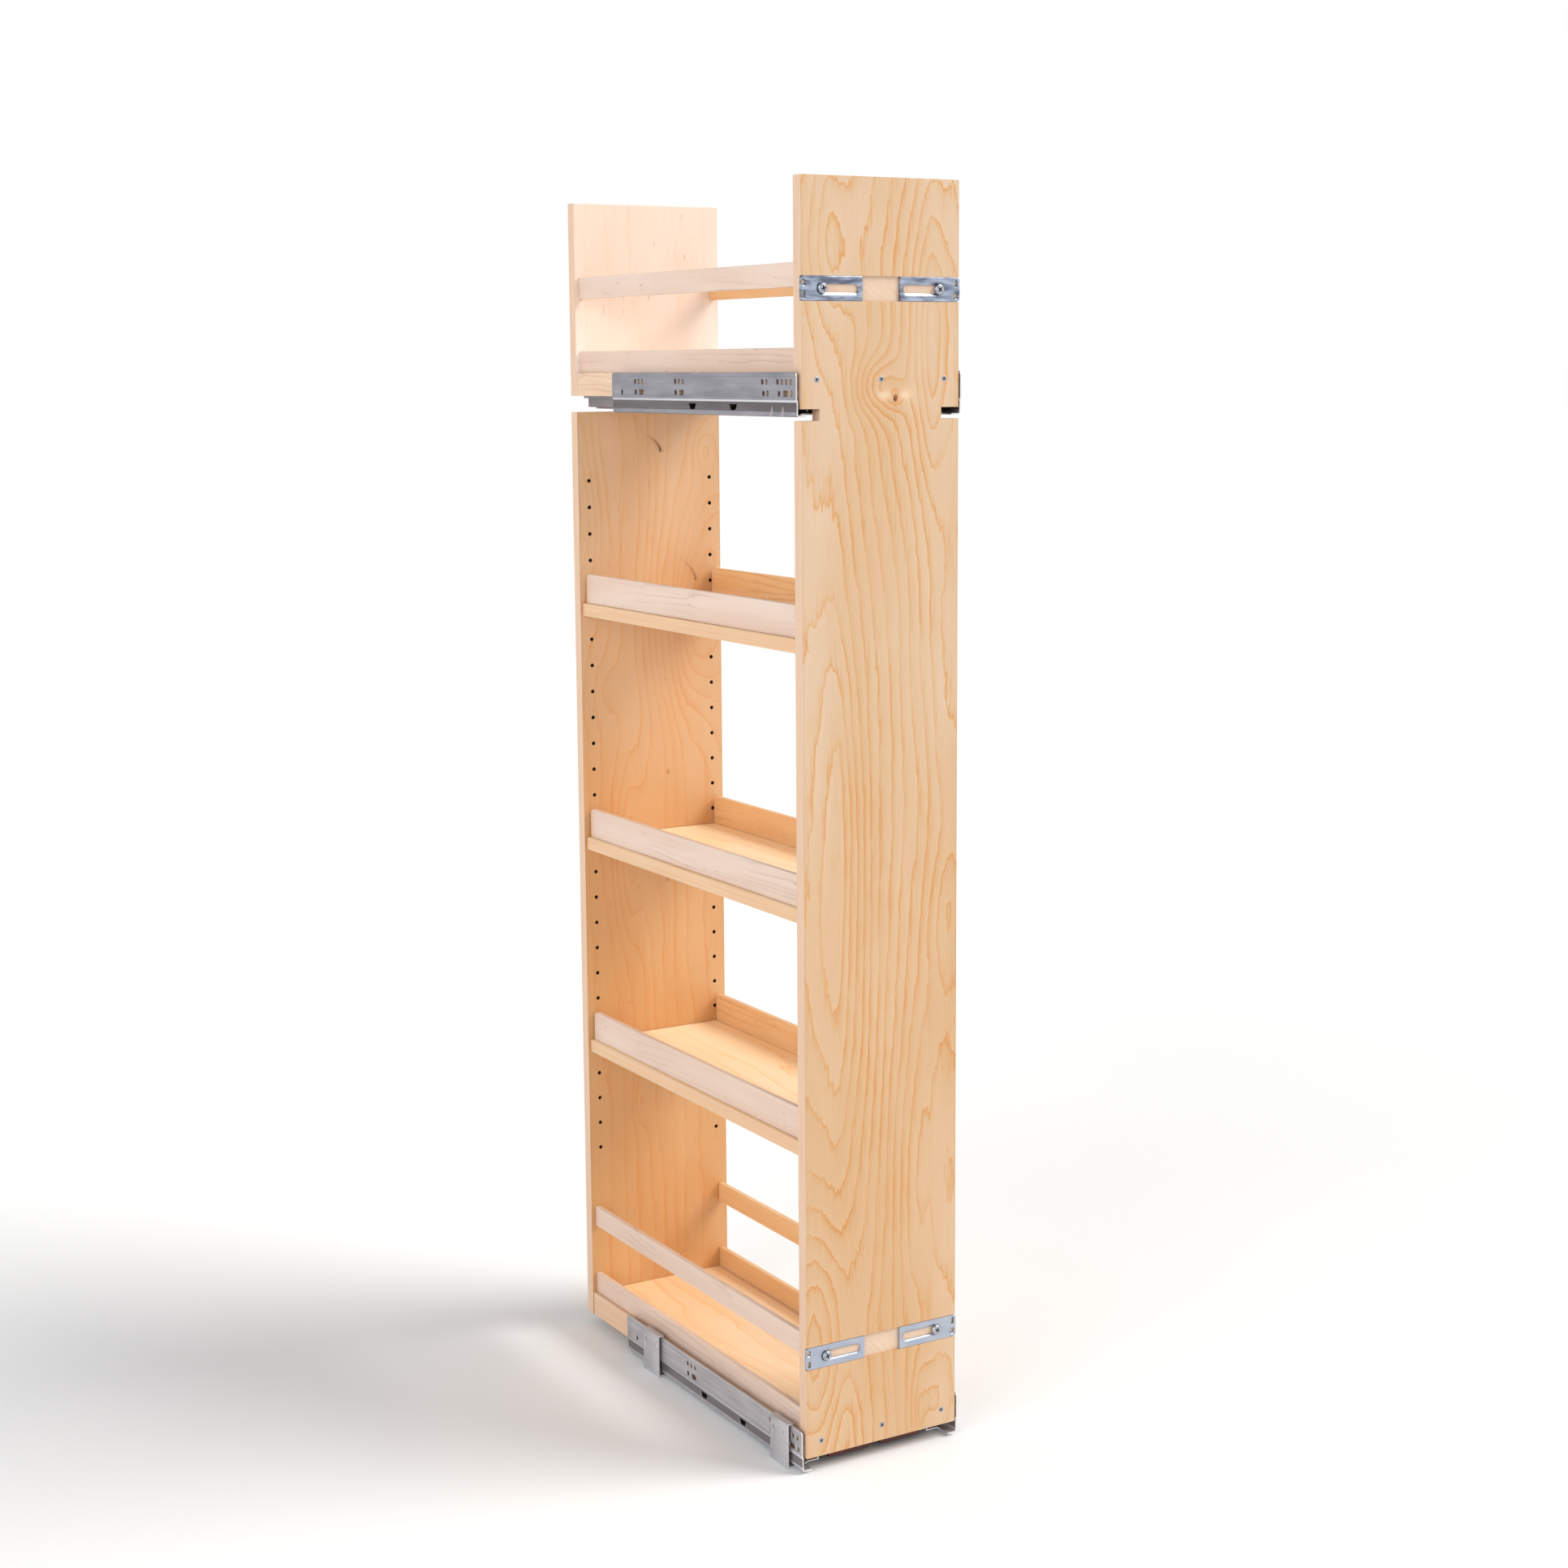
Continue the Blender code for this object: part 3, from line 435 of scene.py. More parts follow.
def pale_extras(s, x, z, place, color):
    """Painted light paling it towards the lower edge, warmer on the back, with a few faint flecks."""
    _, ny, _ = s.axes(s.normal)
    # Painted light: the direct light on the panel's lower part is painted as a whiter tone.
    low = s.map(z, REAR_TOP_LOW.z + 30 * MM, REAR_TOP_LOW.z + 130 * MM, 1.0, 0.0, smooth=True)
    color = s.mix(s.times(low, 0.6), color, srgb(255, 244, 236))
    color = s.mix(s.math("GREATER_THAN", ny, 0.5), color, PALE_BACK_STAIN, "MULTIPLY")
    return flecks(s, place, color, 0.25)


def board_material(name, group, tones, line_strength, seed):
    """Shelf board: veneer along Y on its faces, straight-grained banding on its long edges."""
    s = Surface(name)
    x, y, z = s.axes(s.point)
    nx, _, _ = s.axes(s.normal)
    place = s.vector(x, y, s.times(z, 9.0))
    color, share, fibre = wood_color(s, group, place, tones, line_strength, seed)
    color = s.mix(facing(s, nx), color,
                  banding(s, (60, 7, 620), wood(242, 203, 162), wood(232, 183, 135), seed))
    s.set(Base_Color=color)
    satin_lacquer(s, fibre, share)
    return s.material


def strip_material(name, tones, line_tone, seed=0.0):
    """Solid maple strip with its grain along Y: fine streaks, a few long grey-brown lines, short flecks."""
    s = Surface(name)
    x, y, z = s.axes(s.point)
    _, ny, _ = s.axes(s.normal)
    place = s.vector(s.total(z, s.times(x, 0.45)), y, s.times(x, 6.0))
    light, warm = tones
    broad = s.noise(place, (34, 3.2, 2), (seed, 0, 0), detail=3)
    color = s.mix(s.map(broad, 0.3, 0.7, smooth=True), light, warm)
    lines, glow, _ = growth_lines(s, STRIP_GROWTH, place, STRIP_LINE_THICKNESS)
    patch = s.noise(place, (18, 4.5, 3), (seed, 6, 2), detail=1)
    color = s.mix(s.times(lines, s.map(patch, 0.42, 0.62), 0.35), color, line_tone)
    color = s.mix(s.times(glow, s.map(patch, 0.4, 0.7), 0.5), color, line_tone)
    fibre = s.noise(place, (1100, 14, 150), (seed, 0, 0), detail=3, roughness=0.65)
    color = s.mix(s.map(fibre, 0.35, 0.75, 0.0, 0.20), color, FIBRE_STAIN, "MULTIPLY")
    speck = s.noise(place, (420, 70, 200), (seed, 3, 8), detail=0)
    color = s.mix(s.map(speck, 0.80, 0.85, 0.0, 0.35), color, wood(150, 98, 72))
    end = s.noise(s.point, (420, 30, 420), detail=3)
    end_grain = s.mix(s.map(end, 0.3, 0.7), wood(206, 166, 132), wood(176, 130, 96))
    s.set(Base_Color=s.mix(facing(s, ny), color, end_grain))
    satin_lacquer(s, fibre)
    return s.material


# ---- Metal and plastic -----------------------------------------------------------------------
# Heights above a fixed rail's underside
ROLLER_TRACK_W = (5.6 * MM, 14.4 * MM)
FOLD_HIGHLIGHT_W = (15.5 * MM, 16.9 * MM)
BEAD_MIDDLE_W = (20.5 * MM, 41.5 * MM)
BEAD_HALF_WIDTH = 0.3 * MM


def zinc_material(name, tint, shade, metallic, rail_foot=None, track_shade_depth=0.8):
    """Satin zinc plate with rolling streaks along Y and pale cut ends.

    rail_foot is the height of a fixed rail's underside; a rail also has painted shade along its recessed
    roller track, a painted highlight along the fold above it and two faint pressed beads.
    """
    s = Surface(name)
    _, _, z = s.axes(s.point)
    _, ny, _ = s.axes(s.normal)
    mottle = s.noise(s.point, (60, 16, 75), detail=3, roughness=0.55)
    rolled = s.noise(s.point, (500, 5, 700), detail=2)
    color = s.mix(s.map(mottle, 0.32, 0.68), tint, shade)
    color = s.mix(s.map(rolled, 0.40, 0.75, 0.0, 0.22), color, srgb(128, 124, 126))
    height = s.times(mottle, 0.4)
    if rail_foot is not None:
        w = s.math("SUBTRACT", z, rail_foot)
        painted_track_shade = s.map(rolled, 0.2, 0.8, track_shade_depth - 0.12, track_shade_depth + 0.08)
        # Painted shade: the recessed roller track is darkened where shade falls in it.
        color = s.mix(s.times(s.within(w, *ROLLER_TRACK_W, 0.8 * MM), painted_track_shade), color, srgb(90, 81, 80))
        # Painted highlight: the downward-facing fold is lightened for the pale floor it mirrors.
        color = s.mix(s.times(s.within(w, *FOLD_HIGHLIGHT_W, 0.6 * MM), 0.75), color, srgb(232, 232, 236))
        for middle in BEAD_MIDDLE_W:
            bead = s.within(w, middle - BEAD_HALF_WIDTH, middle + BEAD_HALF_WIDTH, 0.5 * MM)
            color = s.mix(s.times(bead, 0.25), color, srgb(96, 92, 98))
            height = s.total(height, s.times(bead, 0.6))
    color = s.mix(s.times(facing(s, ny), 0.85), color, srgb(228, 226, 226))
    s.set(Base_Color=color, Metallic=metallic, Roughness=s.map(mottle, 0.25, 0.75, 0.38, 0.50))
    s.bump(height, 0.10, 0.3 * MM)
    return s.material


def bright_zinc_material(name, tint, shade, roughness, cloudiness=(42, 60, 70)):
    """Bluish zinc plating with clouds and fine scratches along X; where the shade tone is dark, the clouds
    are painted reflections.
    """
    s = Surface(name)
    cloud = s.noise(s.point, cloudiness, detail=3, roughness=0.5)
    scratch = s.noise(s.point, (60, 90, 1500), detail=2)
    color = s.mix(s.map(cloud, 0.35, 0.65, smooth=True), tint, shade)
    color = s.mix(s.map(scratch, 0.55, 0.8, 0.0, 0.12), color, srgb(120, 122, 130))
    s.set(Base_Color=color, Metallic=0.92,
          Roughness=s.map(cloud, 0.3, 0.7, roughness - 0.04, roughness + 0.05))
    s.bump(cloud, 0.05, 0.4 * MM)
    return s.material


def plastic_material(name, tint, shade, roughness):
    """Moulded plastic with slow flow marks and a fine spark-eroded grain."""
    s = Surface(name)
    grain = s.noise(s.point, (900, 900, 900), detail=2)
    flow = s.noise(s.point, (60, 40, 60), detail=2)
    s.set(Base_Color=s.mix(s.map(flow, 0.3, 0.7), tint, shade),
          Roughness=s.map(grain, 0.3, 0.7, roughness - 0.06, roughness + 0.06))
    s.bump(grain, 0.15, 0.1 * MM)
    return s.material


# ---- Growth fields, as growth_group describes them -------------------------------------------------
FRONT_GROWTH = growth_group(
    "front_growth", 3.7, 26.0, (0.6, 0, 34 * MM),
    ((7, 1.2, 2.0), (24, 4.2, 1.3), (95, 30, 0.30), (330, 34, 0.30)),
    ((-4, 1176, 28, 30, 3.6, 0), (18, 1166, 9, 12, 1.6, 0),
     (-62, 1320, 34, 80, 2.6, 1), (62, 1225, 34, 145, 5.2, 1), (82, 900, 36, 170, 1.8, 0),
     (-56, 640, 46, 360, -6.0, 1), (86, 600, 26, 90, 2.4, 1),
     (-90, 150, 36, 130, 4.6, 0), (64, 330, 46, 200, 3.4, 0), (62, 300, 12, 190, -1.2, 1),
     (-46, 10, 24, 95, -2.8, 1), (66, 50, 26, 60, 2.6, 0), (50, 30, 9, 55, 1.4, 1)))
REAR_GROWTH = growth_group(
    "rear_growth", 9.1, 34.0, (1.0, 4 * MM, 40 * MM),
    ((8, 1.6, 3.0), (26, 5.0, 1.4), (110, 30, 0.25), (330, 34, 0.20)),
    ((-104, 1020, 34, 110, -3.2, 0), (76, 1096, 17, 26, 2.0, 0), (92, 1000, 34, 60, 2.2, 0),
     (58, 885, 52, 105, 6.0, 0), (30, 905, 14, 75, -1.6, 1), (-64, 808, 20, 36, 1.2, 0),
     (-36, 610, 24, 110, 3.4, 1), (-27, 282, 9, 34, 1.7, 0)))
PALE_GROWTH = growth_group(
    "pale_growth", 15.3, 26.0, None, ((6, 1.2, 3.0), (22, 4.0, 1.4), (110, 30, 0.2)), ())
BOARD_GROWTH = growth_group(
    "board_growth", 21.9, 36.0, None, ((8, 1.5, 5.0), (24, 4.5, 2.0), (100, 24, 0.25)), ())
STRIP_GROWTH = growth_group(
    "strip_growth", 31.7, 120.0, None, ((28, 2.6, 5.0), (90, 9, 1.2), (240, 60, 0.2)), ())

# ---- Finishes ----------------------------------------------------------------------------------
FRONT_VENEER = panel_material(
    "front_veneer", FRONT_GROWTH, (wood(221, 193, 164), wood(216, 181, 142)), 1.2,
    (FRONT_HIGH.y, -1), front_extras, seed=1.0)
REAR_VENEER = panel_material(
    "rear_veneer", REAR_GROWTH, (wood(231, 192, 152), wood(225, 177, 130)), 0.60,
    (REAR_LOW.y, 1), rear_extras, seed=5.0)
PALE_VENEER = panel_material(
    "pale_veneer", PALE_GROWTH, (wood(254, 235, 223), wood(252, 228, 211)), 0.20,
    (REAR_LOW.y, 1), pale_extras, seed=9.0)
BOARD = board_material(
    "board_veneer", BOARD_GROWTH, (srgb(251, 226, 192), srgb(248, 215, 172)), 0.60, seed=2.0)
MAPLE = strip_material("maple_strip", (wood(240, 216, 200), wood(234, 203, 183)), wood(176, 138, 118))
# Painted bounce light: a warmer copy of the maple for the right-hand strips, standing for warm light
# reflected onto them from the wood.
MAPLE_PAINTED_BOUNCE = strip_material(
    "maple_painted_bounce", (wood(242, 200, 150), wood(234, 182, 126)), wood(180, 122, 78), seed=8.0)
MAPLE_APRON = strip_material(
    "maple_apron", (wood(244, 212, 182), wood(238, 196, 160)), wood(180, 134, 104), seed=4.0)
UPPER_RAIL_ZINC = zinc_material(
    "upper_rail_zinc", srgb(162, 161, 168), srgb(142, 142, 151), 0.85, UPPER_RAIL_LOW.z)
# Painted light: the lower rails take a lighter, less metallic copy of the upper rails' zinc, standing in
# for light their reflections miss.
LOWER_RAIL_PAINTED_LIGHT_ZINC = zinc_material(
    "lower_rail_painted_light_zinc", srgb(196, 193, 196), srgb(174, 171, 175), 0.55, LOWER_RAIL_LOW.z, track_shade_depth=0.75)
PLAIN_ZINC = zinc_material("plain_zinc", srgb(150, 144, 147), srgb(124, 117, 120), 0.75)
SPACER_ZINC = zinc_material("spacer_zinc", srgb(202, 200, 203), srgb(188, 186, 190), 0.50)
TAB_ZINC = zinc_material("tab_zinc", srgb(226, 208, 202), srgb(206, 190, 186), 0.6)
BRIGHT_ZINC = bright_zinc_material("bright_zinc", srgb(184, 191, 203), srgb(172, 181, 198), 0.30)
# Painted reflection: the upper brackets' dark clouds stand for dark surroundings mirrored in the plate.
PAINTED_REFLECTION_ZINC = bright_zinc_material(
    "painted_reflection_zinc", srgb(178, 188, 208), srgb(104, 110, 128), 0.24, cloudiness=(34, 60, 150))
SCREW_ZINC = bright_zinc_material("screw_zinc", srgb(184, 188, 196), srgb(160, 164, 174), 0.30)
NYLON = plastic_material("natural_nylon", srgb(232, 230, 222), srgb(220, 217, 206), 0.48)
# The clips' orange-brown plastic with the deep shade under the bottom shelf painted into it, so it is dark
# red-brown.
CLIP_PLASTIC_PAINTED_SHADE = plastic_material("clip_plastic", srgb(92, 36, 26), srgb(66, 26, 22), 0.42)
RECESS = plastic_material("recess_shadow", srgb(44, 42, 46), srgb(30, 28, 32), 0.6)

FINISH_BY_START = {
    "front_panel": FRONT_VENEER, "rear_panel_lower": REAR_VENEER, "rear_panel_upper": PALE_VENEER,
    "fixed_rail_upper": UPPER_RAIL_ZINC, "fixed_rail_lower": LOWER_RAIL_PAINTED_LIGHT_ZINC,
    "middle_member": PLAIN_ZINC, "drawer_member": PLAIN_ZINC, "slide_spacer": SPACER_ZINC,
    "door_bracket": BRIGHT_ZINC, "bracket_screw": BRIGHT_ZINC,
    "roller_carriage": NYLON, "slide_clip": CLIP_PLASTIC_PAINTED_SHADE}


def finish_for(node):
    """A CAD node's material, from its name."""
    for start, finish in FINISH_BY_START.items():
        if node.startswith(start):
            return finish
    if "apron" in node:
        return MAPLE_APRON
    if "lip" in node or "rail" in node:
        # Right-hand strips take the maple copy with painted bounce light.
        return MAPLE_PAINTED_BOUNCE if node.endswith("right") else MAPLE
    return BOARD


# ---- CAD nodes: finish and eased edges -----------------------------------------------------------
PRESSED_PARTS = ("fixed_rail", "middle_member", "drawer_member", "slide_spacer", "door_bracket",
                 "bracket_screw", "roller_carriage", "slide_clip")


def eased_edge(node):
    """Width of the rounding on a CAD node's sharp edges."""
    if node.startswith(("roller_carriage", "slide_clip")):
        return 0.4 * MM
    if node.startswith(PRESSED_PARTS):
        return 0.25 * MM
    return 0.5 * MM


def dress(node, obj):
    """Give a CAD node its finish, and round its sharp edges a little without touching its mesh.

    Wooden boards are shaded flat, because smooth shading would bend the light across their large faces.
    """
    obj.data.materials.clear()
    obj.data.materials.append(finish_for(node))
    wooden = not node.startswith(PRESSED_PARTS)
    if wooden:
        obj.data.shade_flat()
    else:
        obj.data.shade_smooth()
    weld = obj.modifiers.new("Weld", "WELD")
    weld.merge_threshold = 0.01 * MM
    flat = obj.modifiers.new("Flat faces", "DECIMATE")
    flat.decimate_type = "DISSOLVE"
    flat.angle_limit = math.radians(0.5)
    ease = obj.modifiers.new("Eased edges", "BEVEL")
    ease.limit_method = "ANGLE"
    ease.angle_limit = math.radians(50)
    ease.width = eased_edge(node)
    ease.segments = 2
    ease.harden_normals = not wooden


for node_name, node_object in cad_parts.items():
    dress(node_name, node_object)


# ---- Mesh tools --------------------------------------------------------------------------------
def arc(center, radius, start, end, steps):
    """Points of an arc; angles are in degrees."""
    angles = [math.radians(start + (end - start) * i / steps) for i in range(steps + 1)]
    return [(center[0] + radius * math.cos(a), center[1] + radius * math.sin(a)) for a in angles]


def slot_outline(center, length, height, steps=12):
    """A slot with round ends, or a round hole where length and height are equal."""
    radius = min(length, height) / 2
    a, b = center
    reach_a, reach_b = max(length / 2 - radius, 0), max(height / 2 - radius, 0)
    if reach_a >= reach_b:
        ends = [((a + reach_a, b), -90), ((a - reach_a, b), 90)]
    else:
        ends = [((a, b + reach_b), 0), ((a, b - reach_b), 180)]
    outline = []
    for end, start in ends:
        points = arc(end, radius, start, start + 180, steps)
        outline += points if reach_a or reach_b else points[:-1]
    return outline


def cross_outline(arm_length, arm_half_width, corner):
    """A cross recess: four arms with eased inner corners."""
    root = arm_half_width + corner
    tip_half_width = arm_half_width * 0.8
    arm = ((root, -arm_half_width), (arm_length, -tip_half_width), (arm_length, tip_half_width),
           (root, arm_half_width))
    outline = []
    for quarter in range(4):
        turn = Matrix.Rotation(quarter * math.pi / 2, 2)
        outline += [tuple(turn @ Vector(point)) for point in arm]
    return outline


def ring(bm, outline, place, depth):
    """Vertices of an outline at one depth; place turns (a, b, depth) into a point."""
    return [bm.verts.new(place(a, b, depth)) for a, b in outline]


def join_rings(bm, first, second):
    """A band of faces between two rings."""
    count = len(first)
    for i in range(count):
        j = (i + 1) % count
        bm.faces.new((first[i], first[j], second[j], second[i]))


def fill(bm, rings):
    """Flat face bounded by one ring, with the other rings as holes."""
    edges = []
    for loop in rings:
        for i, vert in enumerate(loop):
            other = loop[(i + 1) % len(loop)]
            edges.append(bm.edges.get((vert, other)) or bm.edges.new((vert, other)))
    bmesh.ops.triangle_fill(bm, use_beauty=True, use_dissolve=True, edges=edges)


def stack(bm, outline_of, profile, place):
    """Rings joined into one skin; profile holds (size, depth), and outline_of turns a size into points."""
    rings = [ring(bm, outline_of(size), place, depth) for size, depth in profile]
    for first, second in zip(rings, rings[1:]):
        join_rings(bm, first, second)
    return rings


def circle(radius, steps):
    """A closed circle's points around the axis."""
    return arc((0, 0), radius, 0, 360 - 360 / steps, steps - 1)


def new_piece(name, bm, body, material, smooth=35):
    """Finish a mesh into a piece that rides on a body; edges sharper than smooth degrees stay crisp."""
    bmesh.ops.remove_doubles(bm, verts=bm.verts, dist=1e-7)
    bmesh.ops.recalc_face_normals(bm, faces=bm.faces)
    mesh = bpy.data.meshes.new(name)
    bm.to_mesh(mesh)
    bm.free()
    mesh.materials.append(material)
    mesh.shade_smooth()
    mesh.set_sharp_from_angle(angle=math.radians(smooth))
    obj = bpy.data.objects.new(name, mesh)
    bpy.context.scene.collection.objects.link(obj)
    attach(obj, body)
    return obj


# ---- Door brackets -------------------------------------------------------------------------------
BRACKET_THICKNESS = 2.5 * MM
BRACKET_CORNER = 4.0 * MM
SLOT_LENGTH, SLOT_HEIGHT = 48.6 * MM, 9.0 * MM
SLOT_MIDDLE_X = 52.3 * MM
BEVEL_WIDTH, BEVEL_DEPTH = 2.5 * MM, 1.4 * MM
DOOR_HOLE_X, DOOR_HOLE_RISE = 94.0 * MM, 6.2 * MM
DOOR_HOLE_DIAMETER = 5.4 * MM
DOOR_OVAL = (3.6 * MM, 7.6 * MM)
INNER_CORNER = 0.8 * MM
LEAST_CORNER = 0.1 * MM


def plate_outline(low, high, inset):
    """Bracket outline: nearly square at its inner end, round corners at its outer end."""
    (a0, b0), (a1, b1) = low, high
    a0, b0, a1, b1 = a0 + inset, b0 + inset, a1 - inset, b1 - inset
    inner = max(INNER_CORNER - inset, LEAST_CORNER)
    outer = max(BRACKET_CORNER - inset, LEAST_CORNER)
    outline = arc((a0 + inner, b0 + inner), inner, 180, 270, 3)
    outline += arc((a1 - outer, b0 + outer), outer, -90, 0, 8)
    outline += arc((a1 - outer, b1 - outer), outer, 0, 90, 8)
    outline += arc((a0 + inner, b1 - inner), inner, 90, 180, 3)
    return outline


def build_bracket(level, side, side_name):
    """A pressed plate: rolled outer edges, a drawn bevel round the slot, a countersunk hole and an oval."""
    node = f"door_bracket_{level}_{side_name}"
    low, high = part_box(node)
    middle_z = (low.z + high.z) / 2
    inner_x, outer_x = sorted((abs(low.x), abs(high.x)))
    half_height = (high.z - low.z) / 2

    def place(a, b, depth):
        return (side * a, low.y + depth, middle_z - side * b)

    def plate_at(inset):
        return plate_outline((inner_x, -half_height), (outer_x, half_height), inset)

    # Each profile is (how far in or out of the outline, depth below the front face)
    rolled = 0.45 * MM
    rolled_corner = (0.12 * MM, 0.15 * MM)
    plate_profile = ((rolled, 0), rolled_corner, (0, rolled), (0, BRACKET_THICKNESS - rolled),
                     (rolled_corner[0], BRACKET_THICKNESS - rolled_corner[1]), (rolled, BRACKET_THICKNESS))
    slot_profile = ((BEVEL_WIDTH + 0.3 * MM, 0), (BEVEL_WIDTH, 0.06 * MM), (BEVEL_WIDTH * 0.75, 0.32 * MM),
                    (BEVEL_WIDTH * 0.4, 0.78 * MM), (BEVEL_WIDTH * 0.12, 1.22 * MM), (0, BEVEL_DEPTH),
                    (0, BRACKET_THICKNESS))
    round_profile = ((1.3 * MM, 0), (1.1 * MM, 0.08 * MM), (0.15 * MM, 1.0 * MM), (0, 1.2 * MM),
                     (0, BRACKET_THICKNESS))
    oval_profile = ((0.25 * MM, 0), (0.05 * MM, 0.12 * MM), (0, 0.3 * MM), (0, BRACKET_THICKNESS))
    openings = (((SLOT_MIDDLE_X, 0), SLOT_LENGTH, SLOT_HEIGHT, slot_profile),
                ((DOOR_HOLE_X, DOOR_HOLE_RISE), DOOR_HOLE_DIAMETER, DOOR_HOLE_DIAMETER, round_profile),
                ((DOOR_HOLE_X, -DOOR_HOLE_RISE), *DOOR_OVAL, oval_profile))

    bm = bmesh.new()
    skins = [stack(bm, plate_at, plate_profile, place)]
    for center, length, height, profile in openings:
        def opening(wider):
            return slot_outline(center, length + 2 * wider, height + 2 * wider)

        skins.append(stack(bm, opening, profile, place))
    fill(bm, [rings[0] for rings in skins])
    fill(bm, [rings[-1] for rings in skins])
    # The upper brackets take the zinc with painted reflections.
    finish = PAINTED_REFLECTION_ZINC if level == "upper" else BRIGHT_ZINC
    plate = new_piece(f"bracket_plate_{level}_{side_name}", bm, node, finish, smooth=40)
    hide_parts(node)


# ---- Screws ------------------------------------------------------------------------------------
# The cross recess narrows as it deepens: (share of its size at the face, share of its depth)
RECESS_TAPER = ((1.0, 0.0), (0.9, 0.25), (0.55, 1.0))


def build_screw(name, center, facing_y, profile, recess, turn, body, steps=32):
    """A turned screw with a cross recess.

    profile runs from the head's face to the tip as (radius, depth); facing_y is the Y direction in which
    the head looks; recess is the cross's arm length, arm half width and depth.
    """
    bm = bmesh.new()

    def place(a, b, depth):
        spun = Matrix.Rotation(turn, 2) @ Vector((a, b))
        return (center[0] + spun.x, center[1] + facing_y * -depth, center[2] + spun.y)

    arm_length, arm_half_width, recess_depth = recess
    face_depth = profile[0][1]
    rings = stack(bm, lambda radius: circle(radius, steps), profile, place)
    bm.faces.new(rings[-1])
    cross_rings = []
    for shrink, depth in RECESS_TAPER:
        half_width = arm_half_width * (0.4 + 0.6 * shrink)
        outline = cross_outline(arm_length * shrink, half_width, arm_half_width * 0.5)
        cross_rings.append(ring(bm, outline, place, face_depth + recess_depth * depth))
    outer_faces = set(bm.faces)
    for first, second in zip(cross_rings, cross_rings[1:]):
        join_rings(bm, first, second)
    bm.faces.new(cross_rings[-1])
    for face in set(bm.faces) - outer_faces:
        face.material_index = 1
    fill(bm, [rings[0], cross_rings[0]])
    screw = new_piece(name, bm, body, SCREW_ZINC)
    screw.data.materials.append(RECESS)
    return screw


def build_bracket_screw(level, side_name, turn):
    """The domed washer-head screw that clamps a door bracket, with its shank in the front panel."""
    node = f"bracket_screw_{level}_{side_name}"
    low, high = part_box(node)
    center = ((low.x + high.x) / 2, low.y, (low.z + high.z) / 2)
    radius = (high.x - low.x) / 2
    neck, shank, tip = 4.4 * MM, 2.4 * MM, 0.4 * MM
    profile = [(radius * 0.74, 0.0), (radius * 0.80, 0.12 * MM), (radius * 0.91, 0.6 * MM),
               (radius * 0.985, 1.3 * MM), (radius, 2.0 * MM), (radius * 0.99, 3.0 * MM), (neck, 3.75 * MM),
               (shank, 3.8 * MM), (shank - 0.1 * MM, 11.2 * MM), (tip, 14.5 * MM)]
    screw = build_screw(f"slot_screw_{level}_{side_name}", center, -1, profile,
                        (3.0 * MM, 0.70 * MM, 1.6 * MM), turn, "cart")
    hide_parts(node)


PANEL_SCREW_X = (-79 * MM, 0.0, 79 * MM)
PANEL_SCREW_PROUD = 0.2 * MM
PANEL_SCREW_HEAD, PANEL_SCREW_SHANK, PANEL_SCREW_TIP = 3.2 * MM, 1.6 * MM, 0.3 * MM


def board_middle(n):
    """Height of a board's middle."""
    low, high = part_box(n)
    return (low.z + high.z) / 2


def build_panel_screws():
    """Countersunk screws that hold the fixed shelves, seated nearly flush in the front and rear panels."""
    head = PANEL_SCREW_HEAD
    recess = (2.0 * MM, 0.65 * MM, PANEL_SCREW_PROUD * 0.8)
    profile = [(head - 0.4 * MM, 0.0), (head - 0.15 * MM, 0.05 * MM), (head, 0.15 * MM),
               (head - 0.1 * MM, 0.35 * MM), (PANEL_SCREW_SHANK, 3.0 * MM),
               (PANEL_SCREW_SHANK - 0.1 * MM, 18 * MM), (PANEL_SCREW_TIP, 22 * MM)]
    for level, height in (("top", board_middle("top_shelf")), ("bottom", board_middle("bottom_shelf"))):
        for i, x in enumerate(PANEL_SCREW_X):
            build_screw(f"panel_screw_front_{level}_{i + 1}", (x, FRONT_LOW.y - PANEL_SCREW_PROUD, height),
                        -1, profile, recess, 0.3 + 0.5 * i, "cart", steps=24)
            build_screw(f"panel_screw_rear_{level}_{i + 1}", (x, REAR_HIGH.y + PANEL_SCREW_PROUD, height),
                        1, profile, recess, 0.8 - 0.4 * i, "cart", steps=24)


# ---- Shelf pins -------------------------------------------------------------------------------
PIN_ABOVE_UNDERSIDE = 2.4 * MM         # the pin's axis lies in a groove of the shelf
PIN_LENGTH, PIN_IN_PANEL = 18.0 * MM, 8.5 * MM
PIN_CHAMFER = 0.5 * MM


def build_shelf_pins():
    """Steel pins in the panels' holes under each adjustable shelf."""
    radius = PIN_RADIUS - 0.1 * MM
    profile = [(radius - PIN_CHAMFER, 0), (radius - 0.15 * MM, 0.15 * MM), (radius, PIN_CHAMFER),
               (radius, PIN_LENGTH - PIN_CHAMFER), (radius - PIN_CHAMFER, PIN_LENGTH)]
    for level in ("upper", "middle", "lower"):
        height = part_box(f"shelf_{level}")[0].z + PIN_ABOVE_UNDERSIDE
        for end, face_y, inward in (("front", FRONT_HIGH.y, 1), ("rear", REAR_LOW.y, -1)):
            for side, side_name in ((-1, "left"), (1, "right")):
                bm = bmesh.new()
                start = face_y + inward * PIN_IN_PANEL

                def place(a, b, depth):
                    return (side * PIN_COLUMN_X + a, start - inward * depth, height + b)

                rings = stack(bm, lambda r: circle(r, 24), profile, place)
                bm.faces.new(rings[0])
                bm.faces.new(rings[-1])
                new_piece(f"shelf_pin_{level}_{end}_{side_name}", bm, "cart", SCREW_ZINC)


